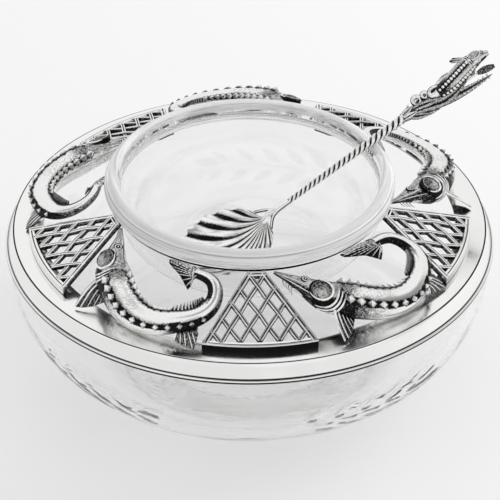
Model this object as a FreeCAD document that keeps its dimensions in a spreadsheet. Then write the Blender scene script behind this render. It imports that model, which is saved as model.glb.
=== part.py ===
import FreeCAD, Part
import math
import os

import Sketcher

# Caviar server: a round glass ice bowl with a silver collar, a pierced silver gallery of
# five sturgeons and five net panels that rises to a wire ring, a glass caviar bowl that
# hangs in the ring by its lip, and a silver spoon that rests in it.
# Millimetres, +Z up, the origin at the middle of the flat base of the ice bowl, the
# front of the server towards -Y.

V = FreeCAD.Vector
UP = V(0, 0, 1)
FIVE = 5
PITCH = 360.0 / FIVE

# Driving sizes: name, value in millimetres or degrees, what it is
SIZES = [
    ("base_radius", 40.0, "flat that the ice bowl stands on"),
    ("crease_radius", 100.0, "outer edge of the flange"),
    ("flange_width", 13.0, "flange, from its hole to its outer edge"),
    ("collar_sheet", 0.8, "thickness of the spun silver"),
    ("band_height", 8.4, "upright band of the collar"),
    ("band_flare", 2.8, "how far the band leans out at its lower edge"),
    ("bead_height", 1.7, "half round bead along the lower edge"),
    ("belly_swell", 1.9, "widest part of the ice bowl, beyond the flange's edge"),
    ("belly_drop", 14.0, "widest part of the ice bowl, below the flange"),
    ("bowl_side_arc", 49.4, "radius of the ice bowl's side in section"),
    ("bowl_bottom_arc", 179.0, "radius of its underside in section"),
    ("bowl_wall", 4.2, "glass thickness of the side"),
    ("bowl_neck_gap", 0.6, "between the glass and the band"),
    ("seat_radius", 57.8, "middle line of the wire ring"),
    ("seat_wire", 1.1, "radius of the ring's wire"),
    ("seat_rise", 16.0, "middle of the wire above the flange"),
    ("seat_gap", 0.1, "lip above the wire"),
    ("lip_overhang", 3.6, "lip beyond its neck, at its underside"),
    ("lip_height", 6.9, "height of the rolled lip"),
    ("lip_roll", 4.6, "radius of the lip's outer face"),
    ("lip_crown", 2.6, "radius of the lip's top"),
    ("lip_draw", 1.0, "how far the lip draws in from foot to top"),
    ("lip_top_width", 3.8, "width of the lip's top"),
    ("dish_depth", 33.9, "lip down to the floor of the caviar bowl"),
    ("dish_corner", 24.0, "radius between its wall and its floor"),
    ("dish_wall", 2.7, "glass thickness of the caviar bowl"),
    ("dish_neck_gap", 0.4, "between the caviar bowl and the ring"),
    ("gallery_inset", 6.8, "flange's outer edge beyond the panels and sturgeons"),
    ("panel_wall", 3.3, "height of the panels' outer wall"),
    ("panel_half_angle", 14.5, "degrees, half of a panel at its outer edge"),
    ("panel_inner_width", 7.2, "width of a panel at the ring"),
    ("panel_depth", 2.3, "depth of the bars"),
    ("panel_end_gap", 0.25, "between a panel and the ring"),
    ("panel_ring_drop", 0.3, "top of a panel below the ring's middle"),
    ("net_bar", 1.45, "width of a net bar"),
    ("net_frame", 2.3, "width of a frame bar"),
    ("first_panel_angle", -87.3, "degrees, where the front panel points"),
    ("fish_width", 13.2, "thickest part of a sturgeon, across"),
    ("fish_depth", 10.4, "thickest part of a sturgeon, through"),
    ("scute_length", 3.8, "largest bony plate, along the body"),
    ("scute_rise", 1.3, "largest bony plate, above the skin"),
    ("fin_thickness", 1.2, "fins and tail of a sturgeon"),
    ("cast_gap", 0.25, "between a sturgeon and the ring or the lip"),
    ("gill_radius", 4.5, "gill cover"),
    ("gill_depth", 2.0, "thickness of the gill cover, half of it in the cheek"),
    ("eye_radius", 0.9, "eye"),
    ("spoon_turn", 31.0, "degrees, where the stem points, seen from above"),
    ("shell_bearing", -121.4, "degrees, where the shell lies, seen from the middle"),
    ("shell_wall_gap", 5.9, "between the shell and the wall of the caviar bowl"),
    ("shell_radius", 20.0, "scallop shell of the spoon"),
    ("shell_depth", 9.0, "hollow of the shell"),
    ("shell_sheet", 1.1, "thickness of the shell"),
    ("shell_pitch", 14.0, "degrees, slope of the shell's rim"),
    ("shell_floor_gap", 0.5, "shell above the floor of the caviar bowl"),
    ("flute_height", 0.7, "height of the flutes"),
    ("knuckle_length", 5.0, "fork of the stem that grips the root of the shell"),
    ("neck_length", 9.4, "plain neck of the stem"),
    ("neck_radius", 1.3, "stem at its thin end"),
    ("stem_length", 63.0, "twisted part of the stem"),
    ("stem_radius", 2.3, "stem at its thick end"),
    ("stem_lay", 9.0, "length of one turn of the twist"),
    ("stem_lip_gap", 0.55, "stem above the lip of the caviar bowl"),
    ("finial_length", 47.0, "sturgeon and reeds at the end of the spoon"),
    ("finial_width", 7.4, "sturgeon of the finial, across"),
    ("reed_width", 3.4, "leaf of a reed"),
]

doc = FreeCAD.newDocument("caviar_server")
sheet = doc.addObject("Spreadsheet::Sheet", "Sizes")
for row, (alias, value, note) in enumerate(SIZES, start=1):
    sheet.set("A%d" % row, alias)
    sheet.set("B%d" % row, str(value))
    sheet.set("C%d" % row, note)
    sheet.setAlias("B%d" % row, alias)
doc.recompute()

nodes = []


def size(alias):
    """The value of a named size."""
    return float(getattr(sheet, alias))


def worked_out(formula):
    """The value of a formula on the sheet."""
    return float(sheet.evalExpression(formula))


def keep(piece, label):
    """Name a sub-part and put it on the list of pieces that are written."""
    piece.Label = label
    nodes.append(piece)
    return piece


def shaped(label, shape, placement=None):
    """A sub-part whose shape is worked out here from the sheet."""
    piece = doc.addObject("Part::Feature", label)
    piece.Shape = shape
    if placement is not None:
        piece.Placement = placement
    return keep(piece, label)


def arc_between(start, end, radius, side):
    """The short arc from start to end that swells to the left (+1) or the right (-1)."""
    chord = end - start
    half = chord.Length / 2
    left = V(-chord.y, chord.x, 0) / chord.Length
    rise = radius - math.sqrt(max(radius * radius - half * half, 0.0))
    return Part.Arc(start, (start + end) / 2 + left * (side * rise), end)


def section_sketch(body, label, outline):
    """The section of a piece of revolution, each size of it bound to its formula."""
    sketch = body.newObject("Sketcher::SketchObject", label + "_section")
    plane = [f for f in body.Origin.OriginFeatures if f.Role == "XZ_Plane"][0]
    sketch.AttachmentSupport = (plane, "")
    sketch.MapMode = "FlatFace"
    corners = [V(worked_out(x), worked_out(y), 0) for x, y, _ in outline]
    count = len(outline)
    starts = []
    for i, (_, _, arc) in enumerate(outline):
        start, end = corners[i], corners[(i + 1) % count]
        if arc is None:
            sketch.addGeometry(Part.LineSegment(start, end), False)
            starts.append(1)
        else:
            radius, side = worked_out(arc[0]), arc[1]
            sketch.addGeometry(arc_between(start, end, radius, side), False)
            starts.append(2 if side > 0 else 1)
    for i in range(count):
        before = (i - 1) % count
        sketch.addConstraint(
            Sketcher.Constraint("Coincident", before, 3 - starts[before], i, starts[i]))

    def bind(constraint, formula):
        at = sketch.addConstraint(constraint)
        sketch.setExpression("Constraints[%d]" % at, formula)

    for i, (x, y, arc) in enumerate(outline):
        corner = corners[i]
        if corner.x == 0:
            sketch.addConstraint(Sketcher.Constraint("PointOnObject", i, starts[i], -2))
        else:
            bind(Sketcher.Constraint("DistanceX", -1, 1, i, starts[i], corner.x), x)
        if corner.y == 0:
            sketch.addConstraint(Sketcher.Constraint("PointOnObject", i, starts[i], -1))
        else:
            bind(Sketcher.Constraint("DistanceY", -1, 1, i, starts[i], corner.y), y)
        if arc is not None:
            bind(Sketcher.Constraint("Radius", i, worked_out(arc[0])), arc[0])
    return sketch


def turned(label, outline):
    """A piece of revolution about Z.

    outline is a closed list of corners (radius, height, arc): the first two are formulas
    on the sheet, and arc is None where a straight line leads to the next corner, or the
    formula of the radius and the side it swells to, +1 left and -1 right of the way.
    """
    body = doc.addObject("PartDesign::Body", label)
    sketch = section_sketch(body, label, outline)
    turn = body.newObject("PartDesign::Revolution", label + "_turn")
    turn.Profile = sketch
    turn.ReferenceAxis = (sketch, ["V_Axis"])
    turn.Angle = 360.0
    body.Tip = turn
    return keep(body, label)


# Ice bowl: the arc of its underside has its centre on the axis and runs smoothly into the
# arc of its side. The flat of the base cuts it, and that sets the height of the belly.
BELLY_RADIUS = "(Sizes.crease_radius + Sizes.belly_swell)"
SIDE_CENTRE = "(%s - Sizes.bowl_side_arc)" % BELLY_RADIUS
ARC_STEP = "(Sizes.bowl_bottom_arc - Sizes.bowl_side_arc)"
ARC_DROP = "sqrt(%s^2 - %s^2)" % (ARC_STEP, SIDE_CENTRE)
BELLY_HEIGHT = "(sqrt(Sizes.bowl_bottom_arc^2 - Sizes.base_radius^2) - %s)" % ARC_DROP
FLANGE_TOP = "(%s + Sizes.belly_drop)" % BELLY_HEIGHT
BOWL_RIM = "(%s - Sizes.collar_sheet)" % FLANGE_TOP
BAND_FOOT = "(%s - Sizes.band_height)" % FLANGE_TOP
FOOT_ABOVE_BELLY = "(Sizes.belly_drop - Sizes.band_height)"
NECK_RADIUS = "(Sizes.crease_radius - Sizes.collar_sheet - Sizes.bowl_neck_gap)"
INNER_ARC = "(Sizes.bowl_side_arc - Sizes.bowl_wall)"


def shoulder(arc):
    """Radius of the side at the foot of the band, for the outer or the inner arc."""
    return "(%s + sqrt(%s^2 - %s^2))" % (SIDE_CENTRE, arc, FOOT_ABOVE_BELLY)


turned("ice_bowl", [
    ("0", "0", None),
    ("Sizes.base_radius", "0", ("Sizes.bowl_bottom_arc", -1)),
    ("%s + Sizes.bowl_side_arc * %s / %s" % (SIDE_CENTRE, SIDE_CENTRE, ARC_STEP),
     "%s - Sizes.bowl_side_arc * %s / %s" % (BELLY_HEIGHT, ARC_DROP, ARC_STEP),
     ("Sizes.bowl_side_arc", -1)),
    (shoulder("Sizes.bowl_side_arc"), BAND_FOOT, None),
    (NECK_RADIUS, BOWL_RIM, None),
    (NECK_RADIUS + " - Sizes.bowl_wall", BOWL_RIM, None),
    (shoulder(INNER_ARC), BAND_FOOT, (INNER_ARC, 1)),
    (SIDE_CENTRE, "%s - %s" % (BELLY_HEIGHT, INNER_ARC), None),
    ("0", "%s - %s" % (BELLY_HEIGHT, INNER_ARC), None),
])

# Collar: flange, band that leans out, and a half round bead at its foot, whose arc is a
# little over half its height in radius
BAND_RADIUS = "(Sizes.crease_radius + Sizes.band_flare)"
BEAD_ARC = "(Sizes.bead_height * 0.52)"
FLANGE_BORE = "(Sizes.crease_radius - Sizes.flange_width)"
turned("rim_collar", [
    (FLANGE_BORE, BOWL_RIM, None),
    ("Sizes.crease_radius - Sizes.collar_sheet", BOWL_RIM, None),
    (BAND_RADIUS + " - Sizes.collar_sheet", BAND_FOOT, None),
    (BAND_RADIUS, BAND_FOOT, (BEAD_ARC, -1)),
    (BAND_RADIUS, BAND_FOOT + " + Sizes.bead_height", None),
    ("Sizes.crease_radius", FLANGE_TOP, None),
    (FLANGE_BORE, FLANGE_TOP, None),
])

# Wire ring that carries the caviar bowl
SEAT_HEIGHT = "(%s + Sizes.seat_rise)" % FLANGE_TOP
ring = doc.addObject("Part::Torus", "seat_ring")
ring.setExpression("Radius1", "Sizes.seat_radius")
ring.setExpression("Radius2", "Sizes.seat_wire")
ring.setExpression("Placement.Base.z", SEAT_HEIGHT)
keep(ring, "seat_ring")

# Caviar bowl: rolled lip, neck inside the ring, rounded dish
LIP_FOOT = "(%s + Sizes.seat_wire + Sizes.seat_gap)" % SEAT_HEIGHT
DISH_NECK = "(Sizes.seat_radius - Sizes.seat_wire - Sizes.dish_neck_gap)"
LIP_EDGE = "(%s + Sizes.lip_overhang)" % DISH_NECK
LIP_CORNER = "(%s - Sizes.lip_draw)" % LIP_EDGE
LIP_TOP = "(%s + Sizes.lip_height)" % LIP_FOOT
DISH_FLOOR = "(%s - Sizes.dish_depth)" % LIP_TOP
DISH_INSIDE = "(%s - Sizes.dish_wall)" % DISH_NECK
turned("caviar_bowl", [
    ("0", DISH_FLOOR + " - Sizes.dish_wall", None),
    (DISH_INSIDE + " - Sizes.dish_corner", DISH_FLOOR + " - Sizes.dish_wall",
     ("Sizes.dish_corner + Sizes.dish_wall", -1)),
    (DISH_NECK, DISH_FLOOR + " + Sizes.dish_corner", None),
    (DISH_NECK, LIP_FOOT, None),
    (LIP_EDGE, LIP_FOOT, ("Sizes.lip_roll", -1)),
    (LIP_CORNER, LIP_TOP, ("Sizes.lip_crown", -1)),
    (LIP_CORNER + " - Sizes.lip_top_width", LIP_TOP, None),
    (DISH_INSIDE, LIP_FOOT, None),
    (DISH_INSIDE, DISH_FLOOR + " + Sizes.dish_corner", ("Sizes.dish_corner", 1)),
    (DISH_INSIDE + " - Sizes.dish_corner", DISH_FLOOR, None),
    ("0", DISH_FLOOR, None),
])

# Gallery: a sloping cone between the ring and the flange, which the panels are cut from
# and the sturgeons lie along
flange_top = worked_out(FLANGE_TOP)
ring_edge = size("seat_radius") + size("seat_wire")
panel_start = ring_edge + size("panel_end_gap")
panel_end = size("crease_radius") - size("gallery_inset")
panel_low = flange_top + size("panel_wall")
panel_high = worked_out(SEAT_HEIGHT) - size("panel_ring_drop")
gallery_slope = (panel_high - panel_low) / (panel_end - panel_start)
prism_top = panel_high + size("panel_depth")


def gallery_height(radius):
    """Height of the sloping gallery at a radius."""
    return panel_low + (panel_end - radius) * gallery_slope


def polar(radius, degrees, height=0.0):
    """A point at a radius, an angle from the panel's middle line, and a height."""
    angle = math.radians(degrees)
    return V(radius * math.cos(angle), radius * math.sin(angle), height)


def closed_polygon(points):
    """The wire of a closed polygon."""
    return Part.makePolygon(points + points[:1])


def polygon_face(points):
    """A flat face inside a closed polygon."""
    return Part.Face(closed_polygon(points))


def unit(vector):
    """The vector at length 1."""
    copy = V(vector)
    copy.normalize()
    return copy


# Net panels
NET_CELLS = 6


class PanelOutline:
    """The corners of a panel in plan, its middle line along +X and its outer side round."""

    def __init__(self):
        half_angle = size("panel_half_angle")
        half_inner = size("panel_inner_width") / 2
        self.left = polar(panel_end, -half_angle)
        self.right = polar(panel_end, half_angle)
        self.top_left = V(panel_start, -half_inner, 0)
        self.top_right = V(panel_start, half_inner, 0)

    def prism(self):
        """The outline as an upright prism."""
        outer = Part.Arc(self.left, V(panel_end, 0, 0), self.right).toShape()
        edges = [outer, Part.makeLine(self.right, self.top_right),
                 Part.makeLine(self.top_right, self.top_left),
                 Part.makeLine(self.top_left, self.left)]
        return Part.Face(Part.Wire(edges)).extrude(UP * prism_top)

    def bars(self):
        """Net bars in two slants and the straight bars of the frame."""
        net, frame = size("net_bar"), size("net_frame")
        bars = []
        for step in range(1, NET_CELLS):
            along = step / NET_CELLS
            reach = (NET_CELLS - step) / (NET_CELLS - 1)
            across = self.right - self.left
            bars.append(bar(self.left + across * along,
                            self.right + (self.top_right - self.right) * reach, net))
            bars.append(bar(self.right - across * along,
                            self.left + (self.top_left - self.left) * reach, net))
        aside, inwards = V(0, frame / 2, 0), V(frame / 2, 0, 0)
        bars.append(bar(self.left + aside, self.top_left + aside, frame))
        bars.append(bar(self.right - aside, self.top_right - aside, frame))
        bars.append(bar(self.top_left + inwards, self.top_right + inwards, frame))
        return bars


def bar(start, end, width):
    """The upright band that a straight bar of the net takes, from start to end in plan."""
    way = end - start
    side = V(-way.y, way.x, 0) / way.Length * (width / 2)
    return polygon_face([start - side, end - side, end + side, start + side]).extrude(
        UP * prism_top)


def outer_band(inner_radius):
    """An upright ring from a radius out past the gallery's edge."""
    outside = Part.makeCylinder(panel_end + size("net_frame"), prism_top)
    return outside.cut(Part.makeCylinder(inner_radius, prism_top))


def gallery_shell():
    """The sloping sheet that the panels are cut from, with its wall down to the flange."""
    depth = size("panel_depth")
    wall_inside = panel_end - size("net_frame")
    section = polygon_face([
        V(panel_start, 0, panel_high),
        V(panel_end, 0, panel_low),
        V(panel_end, 0, flange_top),
        V(wall_inside, 0, flange_top),
        V(wall_inside, 0, gallery_height(wall_inside) - depth),
        V(panel_start, 0, panel_high - depth),
    ])
    section.rotate(V(0, 0, 0), UP, -PITCH / 2)
    return section.revolve(V(0, 0, 0), UP, PITCH)


def net_panel():
    """One pierced panel: bars in two slants inside a frame, cut from the sloping sheet."""
    outline = PanelOutline()
    bars = outline.bars() + [outer_band(outline.left.x - size("net_frame") / 2)]
    net = bars[0].multiFuse(bars[1:]).common(outline.prism())
    return net.common(gallery_shell()).removeSplitter()


# Middle line of a sturgeon: share of the pitch between two panels, share of the way from
# the ring to the gallery's edge, share of the full width, and share of the depth that the
# middle stands above the gallery's slope
SPINE = [
    (0.094, 0.03, 0.11, -0.06),
    (0.160, 0.13, 0.30, 0.12),
    (0.229, 0.29, 0.60, 0.22),
    (0.283, 0.44, 0.90, 0.22),
    (0.380, 0.63, 1.04, 0.16),
    (0.487, 0.81, 0.96, 0.10),
    (0.590, 0.89, 0.76, 0.10),
    (0.692, 0.83, 0.65, 0.14),
    (0.782, 0.68, 0.52, 0.18),
    (0.809, 0.47, 0.41, 0.24),
    (0.776, 0.29, 0.34, 0.26),
    (0.680, 0.18, 0.32, 0.22),
]
SECTIONS = 20
SECTION_SIDES = 12

# Outlines of the fins as (along, across), in shares of the fish's width
PECTORAL = [(-0.10, 0.16), (0.50, 0.20), (1.10, 0.10), (1.28, -0.05), (0.75, -0.30), (0.0, -0.16)]
TAIL = [(-0.25, -0.10), (0.12, -0.22), (0.42, -0.62), (0.50, -0.50), (0.34, -0.02),
        (0.62, 0.30), (1.02, 0.74), (0.80, 0.78), (0.20, 0.34), (-0.25, 0.12)]
BELLY_FIN = [(-0.24, 0.0), (0.26, 0.0), (0.36, 0.80), (0.02, 1.0)]

# Rows of bony plates: first and last share of the spine, first and last angle round the
# skin, size of the last one as a share of the first
SIDE_ROW = (0.31, 0.75, 6.0, -50.0, 0.5)
BACK_ROW = (0.275, 0.63, 86.0, 74.0, 0.65)
SIDE_PLATES = 12
BACK_PLATES = 10


class Spine:
    """A sturgeon's middle line, with its width and the way that is up at each place."""

    def __init__(self):
        rows = []
        for share, reach, wide, lift in SPINE:
            radius = ring_edge + reach * (panel_end - ring_edge)
            height = gallery_height(radius) + lift * size("fish_depth")
            rows.append((polar(radius, share * PITCH, height), wide))
        self.widths = [wide for _, wide in rows]
        self.curve = Part.BSplineCurve()
        self.curve.interpolate([point for point, _ in rows])
        self.places = [self.curve.parameter(point) for point, _ in rows]

    def width_at(self, place):
        """Share of the full width at a parameter of the curve, eased between the rows."""
        last = len(self.places) - 2
        i = max(k for k in range(last + 1) if k == 0 or self.places[k] <= place)
        part = (place - self.places[i]) / (self.places[i + 1] - self.places[i])
        part = min(max(part, 0.0), 1.0)
        return self.widths[i] + (self.widths[i + 1] - self.widths[i]) * part

    def frame_at(self, share):
        """Point, way along, way to the back of the fish, way up, and half sizes."""
        first, last = self.curve.FirstParameter, self.curve.LastParameter
        place = first + (last - first) * share
        point = self.curve.value(place)
        along = self.curve.tangent(place)[0]
        out = unit(V(point.x, point.y, 0))
        slope_up = V(out.x * gallery_slope, out.y * gallery_slope, 1)
        side = unit(slope_up.cross(along))
        wide = self.width_at(place)
        flatness = (1 + math.sqrt(wide)) / 2
        return (point, along, side, unit(along.cross(side)), wide * size("fish_width") / 2,
                wide * flatness * size("fish_depth") / 2)


def skin_point(frame, degrees):
    """A point on the skin: 0 is straight up, 90 the back of the fish, -90 its belly."""
    point, _, side, up, half_width, half_depth = frame
    angle = math.radians(degrees)
    return point + up * (math.cos(angle) * half_depth) + side * (math.sin(angle) * half_width)


def blade(outline, origin, along, across, thickness):
    """A flat fin: outline points as (along, across) from origin, centred in thickness."""
    normal = unit(along.cross(across))
    return polygon_face([origin + along * a + across * b - normal * (thickness / 2)
                         for a, b in outline]).extrude(normal * thickness)


def plate(frame, degrees, scale):
    """A bony plate: a four sided point that stands on the skin and reaches into it."""
    point, along = frame[0], frame[1]
    foot = skin_point(frame, degrees)
    outward = unit(foot - point)
    long = along * (size("scute_length") / 2 * scale)
    wide = unit(outward.cross(along)) * (size("scute_length") * 0.4 * scale)
    rise = outward * (size("scute_rise") * scale)
    low = foot - rise
    corners = [low + long, low + wide, low - long, low - wide]
    faces = [polygon_face([corners[i], corners[(i + 1) % 4], foot + rise]) for i in range(4)]
    faces.append(polygon_face(corners))
    return Part.Solid(Part.Shell(faces))


def plate_row(spine, row, count):
    """A row of bony plates that get smaller towards the tail."""
    first, last, first_angle, last_angle, smallest = row
    plates = []
    for i in range(count):
        part = i / (count - 1)
        plates.append(plate(spine.frame_at(first + (last - first) * part),
                            first_angle + (last_angle - first_angle) * part,
                            1 + (smallest - 1) * part))
    return plates


def disc(frame, degrees, radius, depth, bevel):
    """A low round plate, half of its depth in the skin, narrower at its top by bevel."""
    centre = skin_point(frame, degrees)
    outward = unit(centre - frame[0])
    return Part.makeCone(radius, radius * bevel, depth, centre - outward * (depth * 0.65), outward)


def pectoral_fin(spine, wide, thick):
    """The fin behind the gills, which reaches down to the flange."""
    root_frame = spine.frame_at(0.285)
    root = skin_point(root_frame, -38.0)
    tip = polar(panel_end, 0.295 * PITCH, flange_top + thick * 0.4)
    along = unit(tip - root)
    stretch = (tip - root).Length / PECTORAL[3][0]
    outline = [(a * stretch, b * wide) for a, b in PECTORAL]
    return blade(outline, root, along, unit(UP.cross(along)), thick)


def belly_fin(spine, thick):
    """The small fin under the tail, which reaches down to the flange."""
    frame = spine.frame_at(0.71)
    tip = polar(panel_end + thick * 2, 0.735 * PITCH, flange_top + thick * 0.2)
    down = unit(tip - frame[0])
    root = skin_point(frame, -80.0) - down * thick
    reach = (tip - root).Length
    outline = [(a * size("fish_width"), b * reach) for a, b in BELLY_FIN]
    return blade(outline, root, unit(frame[3].cross(down)), down, thick)


BACK_FIN_TEETH = 5


def back_fin(spine, wide, thick):
    """The saw edged fin on the back, before the tail, as one prism per tooth."""
    frames = [spine.frame_at(0.655 + 0.145 * i / BACK_FIN_TEETH)
              for i in range(BACK_FIN_TEETH + 1)]
    low = [skin_point(frame, 84.0) - frame[2] * (wide * 0.07) for frame in frames]
    teeth = []
    for i in range(BACK_FIN_TEETH):
        tip = low[i + 1] + frames[i + 1][2] * (wide * 0.24)
        teeth.append(polygon_face([low[i], low[i + 1], tip]).extrude(frames[i][3] * thick))
    return teeth


def sturgeon():
    """One cast sturgeon in the gap that follows a panel, from +X round to +Y."""
    spine = Spine()
    wide, thick = size("fish_width"), size("fin_thickness")
    wires = []
    for i in range(SECTIONS + 1):
        frame = spine.frame_at(i / SECTIONS)
        wires.append(closed_polygon([skin_point(frame, 180.0 + 360.0 * k / SECTION_SIDES)
                                     for k in range(SECTION_SIDES)]))
    body = Part.makeLoft(wires, True, True)
    extras = plate_row(spine, SIDE_ROW, SIDE_PLATES) + plate_row(spine, BACK_ROW, BACK_PLATES)
    extras.append(disc(spine.frame_at(0.205), -12.0, size("gill_radius"), size("gill_depth"), 0.8))
    extras.append(disc(spine.frame_at(0.125), 25.0, size("eye_radius"),
                       size("eye_radius") * 1.3, 0.55))
    extras.append(pectoral_fin(spine, wide, thick))
    extras.append(belly_fin(spine, thick))
    extras += back_fin(spine, wide, thick)
    end = spine.frame_at(1.0)
    extras.append(blade([(a * wide, b * wide) for a, b in TAIL], end[0], end[1], end[2] * -1, thick))
    return body.multiFuse(extras).common(cast_room())


def cast_room():
    """The room that a sturgeon may take: above the flange, clear of the ring and the lip."""
    gap = size("cast_gap")
    room = Part.makeCylinder(2 * panel_end, panel_end, V(0, 0, flange_top))
    core = Part.makeCylinder(ring_edge + gap, 3 * panel_end)
    lip = Part.makeCylinder(worked_out(LIP_EDGE) + size("lip_roll") + gap, panel_end,
                            V(0, 0, worked_out(LIP_FOOT) - gap))
    return room.cut(core).cut(lip)


panel_shape = net_panel()
fish_shape = sturgeon()
for i in range(FIVE):
    turn = size("first_panel_angle") + PITCH * i
    place = FreeCAD.Placement(V(0, 0, 0), FreeCAD.Rotation(UP, turn))
    shaped("net_panel_%d" % (i + 1), panel_shape, place)
    shaped("sturgeon_%d" % (i + 1), fish_shape, place)

# Spoon: modelled along its own stem, X from the root of the shell to the finial and Z up,
# then laid with its shell on the floor of the caviar bowl and its stem on the lip
FLUTES = 13
SHELL_STEPS = 5
SHELL_FAN = 76.0
ROOT_SHARE = 0.1
STEM_SIDES = 4
STEPS_A_TURN = 8
stem_start = size("knuckle_length") * 0.32 + size("neck_length")
stem_end = stem_start + size("stem_length")


def stem_half_width(x):
    """Half the stem's thickness at a distance from the root of the shell."""
    share = min(max((x - stem_start) / size("stem_length"), 0.0), 1.0)
    return size("neck_radius") + (size("stem_radius") - size("neck_radius")) * share


def spoon_place():
    """Where the spoon rests, and the tilt of its stem."""
    turn = math.radians(size("spoon_turn"))
    pitch = math.radians(size("shell_pitch"))
    radius, corner = size("shell_radius"), size("dish_corner")
    hang = size("shell_depth") + size("shell_sheet") + size("flute_height")
    middle_rise = size("shell_floor_gap") + hang * math.cos(pitch)
    far_rise = min(middle_rise - radius * math.sin(pitch), corner)
    wall = (worked_out(DISH_INSIDE) - corner
            + math.sqrt(corner ** 2 - (corner - far_rise) ** 2))
    shell_middle = polar(wall - radius - size("shell_wall_gap"), size("shell_bearing"))
    root = shell_middle + polar(radius, size("spoon_turn"))
    root.z = worked_out(DISH_FLOOR) + middle_rise + radius * math.sin(pitch)
    crown_radius = worked_out(LIP_CORNER) - size("lip_top_width") / 2
    crown_rise = size("lip_crown") - math.sqrt(
        size("lip_crown") ** 2 - (size("lip_top_width") / 2) ** 2)
    middle = root.x * math.cos(turn) + root.y * math.sin(turn)
    reach = -middle + math.sqrt(
        middle ** 2 + crown_radius ** 2 - root.x ** 2 - root.y ** 2)
    rise = (worked_out(LIP_TOP) + crown_rise + size("stem_lip_gap")
            + stem_half_width(reach) * 1.08 - root.z)
    tilt = math.degrees(math.atan2(rise, reach))
    lean = FreeCAD.Rotation(V(0, 1, 0), -tilt)
    return FreeCAD.Placement(root, FreeCAD.Rotation(UP, size("spoon_turn")) * lean), tilt


def shell_point(fan, crest, share):
    """A point of the hollow: fan angle, flute crest +1 or groove -1, share of the way out."""
    radius = size("shell_radius")
    root = radius * ROOT_SHARE
    edge = 2 * radius * math.cos(fan) * (1 + 0.012 * crest)
    reach = root + (edge - root) * share
    x, y = -reach * math.cos(fan), reach * math.sin(fan)
    hollow = max(1 - ((x + radius) ** 2 + y ** 2) / radius ** 2, 0)
    flute = crest * size("flute_height") * min(1.0, 2.5 * share) / 2
    return V(x, y, -size("shell_depth") * hollow + flute)


def scallop():
    """The fluted shell, its root at the origin and its hollow towards +Z.

    Each section is a thin strip that runs from the root to the edge, and the sections
    stand side by side like the ribs of a fan.
    """
    steps = 2 * FLUTES
    wires = []
    for k in range(steps + 1):
        fan = math.radians(-SHELL_FAN + 2 * SHELL_FAN * k / steps)
        crest = 1 if k % 2 else -1
        top = [shell_point(fan, crest, j / SHELL_STEPS) for j in range(SHELL_STEPS + 1)]
        under = [point - UP * size("shell_sheet") for point in top[::-1]]
        wires.append(closed_polygon(top + under))
    return Part.makeLoft(wires, True, True)


def twisted_rod(first, last, sides, lay):
    """A rod along X whose flat sides turn once in each lay length."""
    steps = int(round(STEPS_A_TURN * (last - first) / lay))
    rings = []
    for i in range(steps + 1):
        x = first + (last - first) * i / steps
        half, turn = stem_half_width(x), 2 * math.pi * (x - first) / lay
        rings.append([V(x, half * math.cos(turn + 2 * math.pi * k / sides),
                        half * math.sin(turn + 2 * math.pi * k / sides)) for k in range(sides)])
    faces = [polygon_face(rings[0][::-1]), polygon_face(rings[-1])]
    for now, after in zip(rings, rings[1:]):
        for k in range(sides):
            j = (k + 1) % sides
            faces.append(polygon_face([now[k], now[j], after[j]]))
            faces.append(polygon_face([now[k], after[j], after[k]]))
    solid = Part.Solid(Part.Shell(faces))
    if solid.Volume < 0:
        solid.reverse()
    return solid


# Outline of the finial's fish: share of the length, share of the width
FINIAL_FISH = [(0.02, 0.30), (0.14, 0.42), (0.34, 0.62), (0.60, 0.90), (0.80, 0.86),
               (0.92, 0.50), (1.0, 0.10)]
# Reeds: lean to the side in degrees, share of the length
REEDS = [(-16.0, 0.80), (4.0, 0.98), (20.0, 0.66)]


def finial():
    """A small sturgeon, head outermost, over reeds that sprout from the end of the stem."""
    long, wide = size("finial_length"), size("finial_width")
    wires = []
    for share, full in FINIAL_FISH:
        lift = wide * (0.10 + 0.35 * math.sin(math.pi * min(share * 0.75, 1.0)))
        centre = V(stem_end + long * share, 0, lift)
        angles = [2 * math.pi * k / SECTION_SIDES for k in range(SECTION_SIDES)]
        wires.append(closed_polygon([
            centre + V(0, math.sin(a) * wide * full / 2, math.cos(a) * wide * full * 0.45)
            for a in angles]))
    fish = Part.makeLoft(wires, True, True)
    half = size("reed_width") / 2
    extras = []
    for lean, reach in REEDS:
        angle = math.radians(lean)
        along = unit(V(math.cos(angle), math.sin(angle), -0.10))
        leaf = [(0, -half * 0.5), (long * reach * 0.5, -half), (long * reach, 0),
                (long * reach * 0.5, half), (0, half * 0.5)]
        extras.append(blade(leaf, V(stem_end + half, 0, -wide * 0.16), along,
                            unit(UP.cross(along)), half))
    collar = Part.makeCone(size("stem_radius"), size("stem_radius") * 1.4, long * 0.12,
                           V(stem_end, 0, 0), V(1, 0, 0))
    return fish.multiFuse(extras + [collar])


spoon_rest, spoon_tilt = spoon_place()
shell = scallop()
shell.rotate(V(0, 0, 0), V(0, 1, 0), spoon_tilt - size("shell_pitch"))
thin, fork = size("neck_radius"), size("knuckle_length")
neck_start = fork * 0.32
knuckle = Part.makeCone(thin * 1.9, thin * 1.1, fork, V(neck_start - fork, 0, -thin * 0.3), V(1, 0, 0))
shaped("spoon_bowl", shell.fuse(knuckle), spoon_rest)
neck = Part.makeCone(thin * 1.1, thin, size("neck_length"), V(neck_start, 0, 0), V(1, 0, 0))
twist = twisted_rod(stem_start, stem_end, STEM_SIDES, size("stem_lay"))
shaped("spoon_stem", neck.fuse(twist), spoon_rest)
shaped("spoon_finial", finial(), spoon_rest)

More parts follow.
